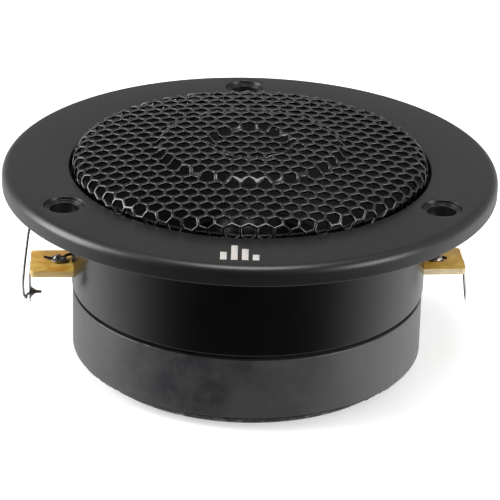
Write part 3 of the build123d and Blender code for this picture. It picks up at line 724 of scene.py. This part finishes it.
# --- Mesh grille ---
def sheet_profile(s):
    """Radius, height and unit normal of the pressed sheet at arc length s from its centre."""
    bend_centre_r = MESH_R - MESH_BEND_R
    bend_angle = math.asin(bend_centre_r / (MESH_CROWN_R - MESH_BEND_R))
    crown_z = MESH_APEX_Z - MESH_CROWN_R
    bend_centre_z = crown_z + (MESH_CROWN_R - MESH_BEND_R) * math.cos(bend_angle)
    crown_end = MESH_CROWN_R * bend_angle
    bend_end = crown_end + MESH_BEND_R * (math.pi / 2 - bend_angle)
    angle = np.where(s < crown_end, s / MESH_CROWN_R, bend_angle + (s - crown_end) / MESH_BEND_R)
    angle = np.minimum(angle, math.pi / 2)
    on_crown = s < crown_end
    radius = np.where(on_crown, MESH_CROWN_R * np.sin(angle), bend_centre_r + MESH_BEND_R * np.sin(angle))
    height = np.where(
        on_crown, crown_z + MESH_CROWN_R * np.cos(angle), bend_centre_z + MESH_BEND_R * np.cos(angle)
    )
    height = height - np.maximum(s - bend_end, 0)
    return radius, height, np.sin(angle), np.cos(angle)


def emboss(radius):
    """Height of the plain raised ring pressed into the crown."""
    def rise(start, end):
        t = np.clip((radius - start) / (end - start), 0, 1)
        return t * t * (3 - 2 * t)
    inner = rise(EMBOSS_IN_R - EMBOSS_FLANK, EMBOSS_IN_R)
    outer = rise(EMBOSS_OUT_R + EMBOSS_FLANK, EMBOSS_OUT_R)
    return EMBOSS_HEIGHT * inner * outer


def press(flat, depth):
    """Moves flat sheet points (x, y) at a depth below the outer face onto the pressed grille."""
    s = np.hypot(flat[:, 0], flat[:, 1])
    unit = flat / np.maximum(s, 1e-9)[:, None]
    radius, height, normal_r, normal_z = sheet_profile(s)
    step = 0.05
    slope = (emboss(radius + step) - emboss(radius - step)) / (2 * step)
    normal_r = normal_r - slope * normal_z
    length = np.hypot(normal_r, normal_z)
    radius = radius - depth * normal_r / length
    height = height + emboss(radius) - depth * normal_z / length
    return np.column_stack([unit * radius[:, None], height])


def cell_centres(reach):
    """Centres of staggered cells, rows along X, inside a flat radius."""
    row_step = MESH_PITCH * math.sqrt(3) / 2
    rows = math.ceil(reach / row_step) + 1
    cos, sin = math.cos(MESH_TURN), math.sin(MESH_TURN)
    found = []
    for row in range(-rows, rows + 1):
        for column in range(-rows - 2, rows + 3):
            x = MESH_PITCH * (column + 0.5 * (row % 2)) + MESH_OFFSET[0]
            y = row_step * row + MESH_OFFSET[1]
            if math.hypot(x, y) < reach:
                found.append((x * cos - y * sin, x * sin + y * cos))
    return np.array(found)


def cell_border(parts):
    """Points round a cell's border hexagon, corners to +Y and -Y, with each side split in parts."""
    corners = [(math.radians(30 + 60 * k + math.degrees(MESH_TURN))) for k in range(6)]
    reach = MESH_PITCH / math.sqrt(3)
    points = [np.array([math.cos(a), math.sin(a)]) * reach for a in corners]
    border = []
    for k in range(6):
        for i in range(parts):
            border.append(points[k] + (points[(k + 1) % 6] - points[k]) * i / parts)
    return np.array(border)


def grille_mesh():
    """Every strand of the mesh as real geometry: a rounded bar shared by neighbouring cells."""
    border = cell_border(3)
    half_bar = (MESH_PITCH - MESH_OPENING) / 2
    edge = [(half_bar - MESH_EDGE * (1 - math.sin(a)), MESH_EDGE * (1 - math.cos(a)))
            for a in (math.pi / 2 * k / 4 for k in range(5))]
    far_edge = [(inset, MESH_THICK - depth) for inset, depth in reversed(edge)]
    section = [(0, 0)] + edge + far_edge + [(0, MESH_THICK)]
    centres = cell_centres(MESH_R + 7.5)
    apothem = MESH_PITCH / 2
    ring_size = len(border)
    verts, faces = [], []
    for centre in centres:
        start = len(verts)
        for inset, depth in section:
            shrink = (apothem - inset) / apothem
            length = np.linalg.norm(border, axis=1, keepdims=True)
            round_off = 0.10 * inset / half_bar
            points = border * shrink * (1 - round_off + round_off * apothem / length)
            verts.extend(press(points + centre, depth))
        for k in range(len(section) - 1):
            for i in range(ring_size):
                j = (i + 1) % ring_size
                a, b = start + k * ring_size, start + (k + 1) * ring_size
                faces.append((a + i, a + j, b + j, b + i))
    obj = new_piece("grille_mesh", verts, faces, 40)
    trim_below(obj, GROOVE_Z + 0.1)
    soften(obj, 40)
    return finish_piece(obj, "mesh", ["grille"])


def trim_below(obj, height):
    """Cuts the mesh level at a height and closes the cut bars."""
    work = bmesh.new()
    work.from_mesh(obj.data)
    bmesh.ops.remove_doubles(work, verts=work.verts, dist=2e-6)
    everything = work.verts[:] + work.edges[:] + work.faces[:]
    bmesh.ops.bisect_plane(
        work, geom=everything, plane_co=(0, 0, height * MM), plane_no=(0, 0, 1), clear_inner=True
    )
    open_edges = [edge for edge in work.edges if edge.is_boundary]
    bmesh.ops.holes_fill(work, edges=open_edges, sides=0)
    bmesh.ops.recalc_face_normals(work, faces=work.faces)
    work.to_mesh(obj.data)
    work.free()


# --- Flange mark, phase plug and diaphragm ---
def flange_mark():
    """Four plain level bars in foil, standing on one line."""
    low, high = span("front_mark")
    pitch, width = 2.15, 1.3
    bars = []
    for i, height in enumerate((3.6, 6.8, 5.2, 2.6)):
        x = low.x + pitch * i
        outline = box_outline(x, x + width, low.y, low.y + height, 0.12)
        bars.append(slab(f"bar_{i}", outline, low.z + 0.005, high.z, 0.015))
    return finish_piece(joined("flange_mark", bars), "mark", ["front_mark"])


def joined(name, objects):
    """One object from several, as separate closed shells."""
    work = bmesh.new()
    for obj in objects:
        work.from_mesh(obj.data)
        bpy.data.objects.remove(obj)
    mesh = bpy.data.meshes.new(name)
    work.to_mesh(mesh)
    work.free()
    made = put(name, mesh)
    soften(made)
    return made


def dome_sphere():
    """Radius of the dome's sphere and height of its centre."""
    base_z = RING_TOP_Z + 0.3
    radius = (DOME_R**2 + DOME_RISE**2) / (2 * DOME_RISE)
    return radius, base_z + DOME_RISE - radius


def cap_arc(offset, radii):
    """Points on the dome's sphere, or on one an offset outside it, at the given radii."""
    radius, centre_z = dome_sphere()
    return [(r, centre_z + math.sqrt((radius + offset) ** 2 - r * r)) for r in radii]


def bullet_plug():
    """Phase plug: a bullet on three vanes inside a thin seat ring."""
    shoulder_r, shoulder_z = 8.6, 29.0
    nose_height = PLUG_TIP_Z - shoulder_z
    nose_r = (shoulder_r**2 + nose_height**2) / (2 * nose_height)
    steps = 24
    outline = cap_arc(1.0, [9.4 * i / 12 for i in range(13)])
    outline.append((9.3, outline[-1][1] + 0.25))
    for i in range(steps + 1):
        r = shoulder_r * math.cos(math.pi / 2 * i / steps)
        r = 0.0 if i == steps else r
        outline.append((r, PLUG_TIP_Z - nose_r + math.sqrt(nose_r**2 - r * r)))
    plug = lathe("bullet_plug", outline, 128)
    seat_in_r, seat_out_r = 13.0, HORN_START_R - 0.02
    seat = lathe("seat", rounded([
        (seat_in_r, LEDGE_Z, 0.1), (seat_out_r, LEDGE_Z, 0.1),
        (seat_out_r, HORN_START_Z, 0.1), (seat_in_r, HORN_START_Z, 0.35),
    ]), 128)
    vanes = []
    for k in range(3):
        side = rounded([
            (4.7, 28.5, 0), (8.4, 26.55, 0), (14.3, LEDGE_Z + 0.1, 0), (14.3, HORN_START_Z - 0.02, 0),
            (13.2, HORN_START_Z + 0.1, 0.4), (8.6, 29.6, 0.6), (4.7, 29.6, 0),
        ])
        vane = slab(f"vane_{k}", side, -0.8, 0.8, 0.25)
        vane.data.transform(rotation(90, "X"))
        vanes.append(turn(vane, 32.3 + 120 * k))
    combine(plug, [seat, *vanes], "UNION")
    return finish_piece(plug, "plug", ["phase_plug"])


def metal_dome():
    radii = [DOME_R * i / 28 for i in range(29)]
    inside = cap_arc(-DOME_THICK, [min(r, 12.55) for r in radii])
    outline = cap_arc(0, radii) + inside[::-1]
    return finish_piece(lathe("metal_dome", outline, 160, 60), "dome", ["dome"], MOVING_BODY)


def roll_surround():
    """Thin half roll that bends between the moving former and the fixed ring."""
    low, thick, roll = RING_TOP_Z, 0.15, 1.5
    middle, arc = 15.0, 16
    angles = [math.pi * i / arc for i in range(arc + 1)]
    upper = [(middle - roll * math.cos(a), low + thick + roll * math.sin(a)) for a in angles]
    inner = roll - thick
    lower = [(middle + inner * math.cos(a), low + (thick + inner) * math.sin(a)) for a in angles]
    outline = [(12.77, low), (12.77, low + thick)] + upper + [(18.5, low + thick), (18.5, low)] + lower
    surround = finish_piece(lathe("roll_surround", outline, 160, 60), "surround", ["surround"], rides=False)
    fix_inner_edge(surround)
    return surround


def fix_inner_edge(surround):
    """The roll's outer land stays on the ring and its inner edge goes with the coil former."""
    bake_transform(surround, MOVING_BODY, FIXED_BODY, start=(0.0129, 0, 0), end=(0.0166, 0, 0))
    free_r, held_r = 12.9, 16.5
    weights = surround.data.attributes["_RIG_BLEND"].data
    for vertex, weight in zip(surround.data.vertices, weights):
        share = (math.hypot(vertex.co.x, vertex.co.y) / MM - free_r) / (held_r - free_r)
        share = min(1.0, max(0.0, share))
        weight.value = share * share * (3 - 2 * share)


def wound_coil():
    """Voice coil with its turns as real grooves."""
    low, high = span("voice_coil")
    turns = 14
    outer = []
    for i in range(turns * 6 + 1):
        t = i / (turns * 6)
        groove = 0.05 * abs(math.sin(math.pi * turns * t)) - 0.05
        outer.append((13.25 + groove, low.z + (high.z - low.z) * t))
    outline = [(12.75, low.z)] + outer + [(12.75, high.z)]
    return finish_piece(lathe("wound_coil", outline, 128, 60), "coil", ["voice_coil"], MOVING_BODY)


def felt_pad():
    low, high = span("damping_pad")
    edge_r, top_z = 9.9, high.z - 0.1
    outline = rounded([
        (0, low.z, 0), (edge_r, low.z, 0.2), (edge_r, top_z, 0.7), (6.0, top_z, 0), (0, top_z, 0),
    ])
    pad = lathe("felt_pad", outline, 128)
    roughen(pad, 0.25, 1.4, 3.0, lambda p: p.z > low.z + 0.3)
    return finish_piece(pad, "felt", ["damping_pad"])


def foam_gasket():
    low, high = span("diaphragm_gasket")
    in_r, out_r = 18.85, 22.95
    outline = rounded([(in_r, low.z, 0.1), (out_r, low.z, 0.1), (out_r, high.z, 0.2), (in_r, high.z, 0.2)])
    return finish_piece(lathe("foam_gasket", outline, 128), "gasket", ["diaphragm_gasket"])


# --- Motor ---
def ring_magnet():
    """Ferrite ring with slightly chipped corners."""
    corner = 0.9

    def chipped(angle, r, z):
        at_corner = z < MAGNET_Z + corner - 0.1 or z > MAGNET_TOP_Z - corner + 0.1
        if r < MAGNET_R - corner or not at_corner:
            return r, z
        point = Vector((math.cos(angle) * 22, math.sin(angle) * 22, z * 0.8))
        return r - 0.6 * max(0.0, noise.noise(point) - 0.4), z

    outline = rounded([
        (MAGNET_BORE_R, MAGNET_Z, 0.4), (MAGNET_R, MAGNET_Z, 0.18), (MAGNET_R, MAGNET_Z + corner, 0),
        (MAGNET_R, MAGNET_TOP_Z - corner, 0), (MAGNET_R, MAGNET_TOP_Z, 0.2),
        (MAGNET_BORE_R, MAGNET_TOP_Z, 0.4),
    ], 6)
    return finish_piece(lathe("ring_magnet", outline, 360, 40, chipped), "ferrite", ["magnet"])


def rear_plate():
    outline = rounded([
        (0, 0, 0), (PLATE_R, 0, 0.6), (PLATE_R, PLATE_TOP_Z, 0.35), (POLE_R, PLATE_TOP_Z, 0.4),
        (POLE_R, SEAT_Z, 0.25), (0, SEAT_Z, 0),
    ], 6)
    return finish_piece(lathe("rear_plate_and_pole", outline, 256), "steel", ["yoke"])


def squeezed_adhesive():
    """Glue line of the rear plate, squeezed out unevenly under the magnet and down the plate's edge."""
    def uneven(angle, r, z):
        if r < PLATE_R - 1 or z > MAGNET_Z - 0.1:
            return r, z
        around = Vector((math.cos(angle) * 9, math.sin(angle) * 9, 0))
        swell = noise.noise(around) + 0.7 * noise.noise(around * 3.1) + 0.8 * noise.noise(around * 7.3)
        if z > bead_z - 0.3:
            return r + 0.12 * min(swell, 1), z + 0.35 * swell * (MAGNET_Z - z) / bead_depth
        return r + 0.2 * swell, z + 0.4 * swell

    run_down_z, bead_depth = 0.95, 0.6
    bead_z = MAGNET_Z - bead_depth
    outline = rounded([
        (GLUE_IN_R, PLATE_TOP_Z + 0.005, 0), (PLATE_R - 0.05, PLATE_TOP_Z - 0.02, 0),
        (PLATE_R - 0.2, run_down_z, 0.05), (PLATE_R + 0.2, run_down_z, 0.15), (PLATE_R + 0.4, 1.7, 0.3),
        (MAGNET_R - 1.4, bead_z, 0.2), (MAGNET_R - 0.5, bead_z, 0.25), (MAGNET_R - 0.3, MAGNET_Z, 0),
        (GLUE_IN_R, MAGNET_Z, 0),
    ])
    return finish_piece(lathe("rear_adhesive", outline, 720, 50, uneven), "glue", ["glue_ring_rear"])


# --- Terminals ---
def terminal_board(side):
    corners = [(BOARD_IN_R, -BOARD_HALF, 0.2), (BOARD_OUT_R, -BOARD_HALF, 0.9),
               (BOARD_OUT_R, BOARD_HALF, 0.9), (BOARD_IN_R, BOARD_HALF, 0.2)]
    board = slab(f"laminate_{side}", rounded(corners, 8), SEAT_Z + 0.01, BOARD_TOP_Z, 0.08)
    hole_r, low, high = 1.12, SEAT_Z - 1, BOARD_TOP_Z + 1
    hole = lathe("hole", [(0, low), (hole_r, low), (hole_r, high), (0, high)], 48)
    hole.data.transform(moved(RIVET_R_POS, RIVET_SHIFT[side]))
    combine(board, [hole])
    turn(board, TERMINAL_ANGLES[side])
    return finish_piece(board, "board", [f"terminal_board_{side}"])


def turn_on_rivet(obj, side):
    """Turns a piece drawn along +X about its rivet."""
    pivot = moved(*TAB_PIVOT)
    obj.data.transform(pivot @ rotation(TAB_SKEW[side], "Z") @ pivot.inverted())


def bent_tab(side):
    """Strip under the board, bent down with a small radius; the leg tapers, has an eye and may splay."""
    outer, thick = BOARD_OUT_R + TAB_THICK, TAB_THICK
    under = SEAT_Z - thick
    section = rounded([
        (TAB_IN_R, SEAT_Z - 0.01, 0), (TAB_IN_R, under, 0.05), (BOARD_OUT_R, under, 0.25),
        (BOARD_OUT_R, TAB_TIP_Z, 0.08), (outer, TAB_TIP_Z, 0.08), (outer, SEAT_Z - 0.01, 0.55),
    ], 6)
    tab = slab(f"bent_tab_{side}", section, -TAB_HALF, TAB_HALF, 0.06)
    tab.data.transform(rotation(90, "X"))
    eye = lathe("eye", [(0, -2), (0.7, -2), (0.7, 2), (0, 2)], 48)
    eye.data.transform(moved(outer, 0, TAB_EYE_Z) @ rotation(90, "Y"))
    trims = [eye]
    for sign in (-1, 1):
        beside = sign * (TAB_HALF + 1)
        corner = [(beside, TAB_TIP_Z - 1), (beside, TAB_TIP_Z + 2.9), (sign * 0.2, TAB_TIP_Z - 1)]
        trim = slab("trim", corner, BOARD_OUT_R - 1, outer + 1)
        trim.data.transform(Matrix(((0, 0, 1, 0), (1, 0, 0, 0), (0, 1, 0, 0), (0, 0, 0, 1))))
        clean(trim)
        trims.append(trim)
    combine(tab, trims)
    for vertex in tab.data.vertices:
        if vertex.co.x > BOARD_OUT_R * MM - 1e-5:
            vertex.co.x += TAB_SPLAY[side] * max(0.0, under * MM - vertex.co.z)
    turn_on_rivet(tab, side)
    turn(tab, TERMINAL_ANGLES[side])
    return finish_piece(tab, "tinned", [f"solder_tab_{side}"])


def hollow_rivet(side):
    """Eyelet through board and tab, its edges rolled over."""
    low, high, head = SEAT_Z - TAB_THICK - 0.3, BOARD_TOP_Z + 0.3, 0.28
    outline = rounded([
        (RIVET_BORE_R, low, 0.1), (RIVET_HEAD_R, low, 0.12), (RIVET_HEAD_R, low + head, 0.1),
        (RIVET_SHANK_R, low + head, 0), (RIVET_SHANK_R, high - head, 0), (RIVET_HEAD_R, high - head, 0.1),
        (RIVET_HEAD_R, high, 0.12), (RIVET_BORE_R, high, 0.1),
    ])
    rivet = lathe(f"hollow_rivet_{side}", outline, 64)
    turn(rivet, TERMINAL_ANGLES[side], (RIVET_R_POS, RIVET_SHIFT[side], 0))
    return finish_piece(rivet, "tinned", [f"rivet_{side}"])


def lead_points(side):
    """Course of a lead-out, from the diaphragm ring out over the board to its solder."""
    over = BOARD_TOP_Z + 0.6
    shift = RIVET_SHIFT[side]
    end_r = {"left": 43.7, "right": 42.8}[side]
    return [
        (24.4, 0.6, RING_TOP_Z + 0.3), (29.0, 1.0, RING_TOP_Z + 0.3), (38.3, shift - 2.5, over + 0.2),
        (39.9, shift, over), (41.9, shift, over - 0.1), (end_r, shift - 0.8, over),
    ]


def stiff_lead(side):
    lead = wire(f"stiff_lead_{side}", lead_points(side), LEAD_WIRE_R)
    roughen(lead, 0.08, 0.5, 2.0)
    turn(lead, TERMINAL_ANGLES[side])
    return finish_piece(lead, "lead_wire", [f"lead_out_{side}"])


def solder_mound(side):
    """Uneven mound of solder that has crept along the lead."""
    base = BOARD_TOP_Z + 0.05
    seed = 4.0 if side == "left" else 9.0
    centre = (RIVET_R_POS - 0.1, RIVET_SHIFT[side], base + 0.1)
    mound = blob(f"solder_mound_{side}", (1.75, 1.5, 0.95), centre, base, 0.42, seed, 5)
    turn(mound, TERMINAL_ANGLES[side])
    return finish_piece(mound, "solder", [f"solder_joint_{side}"])


def tab_cone():
    """Pointed cone of solder round the lead, inside the left tab."""
    outline = [(0, 0)]
    for i in range(13):
        t = i / 12
        outline.append((0.32 + 1.1 * (1 - t) ** 3.4, 2.0 * t))
    outline.append((0, 2.0))
    cone = lathe("tab_solder", outline, 64, 50)
    roughen(cone, 0.15, 0.9, 5.0, lambda p: p.z > 0.05)
    cone.data.transform(moved(BOARD_OUT_R, 0, TAB_EYE_Z) @ rotation(-90, "Y"))
    turn(cone, TERMINAL_ANGLES["left"])
    return finish_piece(cone, "solder", ["tab_solder_joint"])


# --- Series capacitor ---
CAP_ANGLE, CAP_R, CAP_HALF, CAP_Z = 137.0, 4.0, 8.0, 30.0
CAP_AXIS_R = BARREL_TOP_R + 0.6 + CAP_R


def beside_barrel(obj):
    """Lays a piece drawn along Z beside the barrel, on the capacitor's axis."""
    along = rotation(-90, "Z") @ rotation(90, "Y")
    obj.data.transform(moved(CAP_AXIS_R, 0, CAP_Z) @ along)
    return turn(obj, CAP_ANGLE)


def cap_point(direction, reach):
    """Point on the capacitor's axis, a reach beyond one of its ends."""
    along = direction * (CAP_HALF - 0.8 + reach)
    angle = math.radians(CAP_ANGLE)
    x = CAP_AXIS_R * math.cos(angle) + along * math.sin(angle)
    return (x, CAP_AXIS_R * math.sin(angle) - along * math.cos(angle), CAP_Z)


def capacitor_can():
    """Sleeved can with a rolled crimp near one end and the sleeve turned in over both ends."""
    low, high = -CAP_HALF, CAP_HALF
    outline = rounded([
        (0, low + 0.8, 0), (3.4, low + 0.8, 0.2), (3.5, low, 0.08), (CAP_R, low, 0.45),
        (CAP_R, low + 1.6, 0.2), (CAP_R - 0.35, low + 2.1, 0.25), (CAP_R, low + 2.6, 0.2),
        (CAP_R, high, 0.45), (3.5, high, 0.08), (3.4, high - 0.8, 0.2), (0, high - 0.8, 0),
    ])
    can = beside_barrel(lathe("capacitor_can", outline, 128))
    return finish_piece(can, "capacitor", ["capacitor_case"])


def capacitor_leads():
    tab_angle = math.radians(TERMINAL_ANGLES["left"])

    def eye_point(reach):
        radius = BOARD_OUT_R + TAB_THICK + reach
        return (radius * math.cos(tab_angle), radius * math.sin(tab_angle), TAB_EYE_Z)

    to_tab = [
        cap_point(-1, 0), cap_point(-1, 4.0), (-47.6, 13.5, 26.3), (-48.35, 4.0, 18.5), (-48.45, -1.9, 14.3),
        (-47.5, -3.0, 12.5), eye_point(0.6), eye_point(-2.6),
    ]
    x, y, z = cap_point(1, 3.2)
    free = [
        cap_point(1, 0), (x, y, z), (x - 0.6, y + 0.4, z - 7), (x - 2.6, y + 1.6, z - 8.5),
        (x - 2.8, y + 1.7, z - 5.5),
    ]
    finish_piece(wire("capacitor_lead", to_tab, CAP_LEAD_R), "component_lead", ["capacitor_lead_to_tab"])
    finish_piece(wire("hooked_lead", free, CAP_LEAD_R), "component_lead", ["capacitor_lead_free"])


def hot_melt_bed():
    """Lumpy bed of adhesive between the can and the barrel."""
    source = frame["nodes"]["capacitor_glue"]
    bed = put("hot_melt_bed", source.data.copy())
    modifier = bed.modifiers.new("remesh", "REMESH")
    modifier.mode = "VOXEL"
    modifier.voxel_size = 0.25 * MM
    bake(bed)
    smooth = bed.modifiers.new("smooth", "SMOOTH")
    smooth.iterations = 6
    bake(bed)
    soften(bed, 60)
    roughen(bed, 0.5, 2.2, 7.0)
    return finish_piece(bed, "bed_glue", ["capacitor_glue"])


# --- Everything together ---
def build_pieces():
    front_casting()
    grille_mesh()
    flange_mark()
    bullet_plug()
    metal_dome()
    roll_surround()
    wound_coil()
    felt_pad()
    foam_gasket()
    ring_magnet()
    rear_plate()
    squeezed_adhesive()
    for side in TERMINAL_ANGLES:
        terminal_board(side)
        bent_tab(side)
        hollow_rivet(side)
        stiff_lead(side)
        solder_mound(side)
    tab_cone()
    capacitor_can()
    capacitor_leads()
    hot_melt_bed()


def paint_cad_nodes():
    """CAD nodes that stay as they are get the same detailed materials as the new pieces."""
    for entry in frame["record"]["subparts"]:
        node = frame["nodes"][entry["node"]]
        node.data.materials.clear()
        node.data.materials.append(MATERIALS[entry["material_slot"]])


# --- Stage, light and camera ---
def add_floor():
    mesh = bpy.data.meshes.new("floor")
    half = 6.0
    corners = [(-half, -half, 0), (half, -half, 0), (half, half, 0), (-half, half, 0)]
    mesh.from_pydata(corners, [], [(0, 1, 2, 3)])
    floor = put("floor", mesh)
    floor.location.z = -0.0002
    mesh.materials.append(floor_finish())
    floor.visible_glossy = False


def studio_world():
    """Surroundings that black paint reflects: dark in front, white at the sides, grey above the back."""
    world = bpy.data.worlds.new("studio")
    world.use_nodes = True
    made = Nodes(world.node_tree)
    background = world.node_tree.nodes["Background"]

    direction = made.node("ShaderNodeTexCoord").outputs["Generated"]
    level = made.node("ShaderNodeVectorMath", operation="MULTIPLY")
    level.inputs[1].default_value = (1, 1, 0)
    unit = made.node("ShaderNodeVectorMath", operation="NORMALIZE")
    heading = made.node("ShaderNodeSeparateXYZ")
    height = made.node("ShaderNodeSeparateXYZ")
    made.link(direction, level.inputs[0])
    made.link(direction, height.inputs["Vector"])
    made.link(level.outputs["Vector"], unit.inputs[0])
    made.link(unit.outputs["Vector"], heading.inputs["Vector"])

    ramp = made.node("ShaderNodeValToRGB")
    while len(ramp.color_ramp.elements) < len(SURROUNDINGS):
        ramp.color_ramp.elements.new(0.5)
    for stop, (place, brightness) in zip(ramp.color_ramp.elements, SURROUNDINGS):
        stop.position = place
        stop.color = (*grey(brightness), 1)
    made.link(made.remap(heading.outputs["Y"], -1, 1, 0, 1), ramp.inputs["Fac"])

    soft = {"interpolation_type": "SMOOTHSTEP"}
    above = made.remap(height.outputs["Z"], -0.15, 0.15, 1.5, 0.75, **soft)
    steep = made.remap(height.outputs["Z"], -0.9, -0.6, 1, 0, **soft)
    near_floor = made.mix(steep, ramp.outputs["Color"], grey(NEAR_FLOOR))
    camera_ray = made.node("ShaderNodeLightPath").outputs["Is Camera Ray"]
    strength = made.node("ShaderNodeMix", data_type="FLOAT")
    strength.inputs[3].default_value = 1.0
    made.link(camera_ray, strength.inputs[0])
    made.link(above, strength.inputs[2])
    made.link(made.mix(camera_ray, near_floor, grey(1)), background.inputs["Color"])
    made.link(strength.outputs[0], background.inputs["Strength"])
    bpy.context.scene.world = world


# Brightness of the surroundings by heading, from straight in front (0) round to the back (1).
SURROUNDINGS = (
    (0.0, 0.0), (0.09, 0.03), (0.18, 0.10), (0.30, 0.36), (0.44, 0.74), (0.58, 0.94),
    (0.71, 1.0), (0.83, 0.77), (0.93, 0.60), (1.0, 0.53),
)

# Brightness of the floor close below the object.
NEAR_FLOOR = 0.45

# Soft boxes: heading from the front and height above the level in degrees, width and height in
# metres at one metre, radiance.  The fill only lights the object: it shows in no highlight.
SOFT_BOXES = {
    "top": (0, 75, 0.46, 0.46, 11.0),
    "left": (-90, 21, 0.62, 0.80, 10.0),
    "right": (58, 13, 0.44, 0.56, 8.0),
    "fill": (35, 35, 0.6, 0.6, 3.0),
}


def add_lights():
    target = Vector((0, 0, FACE_Z * MM))
    for name, (heading, height, width, tall, radiance) in SOFT_BOXES.items():
        turned, raised = math.radians(heading), math.radians(height)
        level = math.cos(raised)
        aim = Vector((math.sin(turned) * level, -math.cos(turned) * level, math.sin(raised)))
        data = bpy.data.lights.new(name, "AREA")
        data.shape = "RECTANGLE"
        data.size, data.size_y = width, tall
        data.energy = radiance * math.pi * width * tall
        lamp = put(name, data)
        lamp.location = target + aim
        lamp.rotation_euler = aim.to_track_quat("Z", "Y").to_euler()
        lamp.visible_camera = False
        lamp.visible_glossy = name != "fill"


def add_camera():
    """Long lens from the front, 24 degrees above the level, turned a little about its own axis."""
    elevation, roll = math.radians(24.417), math.radians(1.424)
    forward = Vector((0, math.cos(elevation), -math.sin(elevation)))
    right = Vector((1, 0, 0))
    up = right.cross(forward)
    turned_right = right * math.cos(roll) + up * math.sin(roll)
    turned_up = up * math.cos(roll) - right * math.sin(roll)
    data = bpy.data.cameras.new("camera")
    data.sensor_width = 36.0
    data.lens = 209.79
    camera = put("camera", data)
    place = -forward * 617.18 + right * 0.387 - up * 18.22 + Vector((0, 0, FACE_Z))
    axes = Matrix((turned_right, turned_up, -forward)).transposed().to_4x4()
    camera.matrix_world = Matrix.Translation(place * MM) @ axes
    bpy.context.scene.camera = camera


def set_picture_tone():
    bpy.context.scene.view_settings.view_transform = "Standard"


MATERIALS = make_materials()
add_camera()
add_floor()
add_lights()
studio_world()
set_picture_tone()
build_pieces()
paint_cad_nodes()
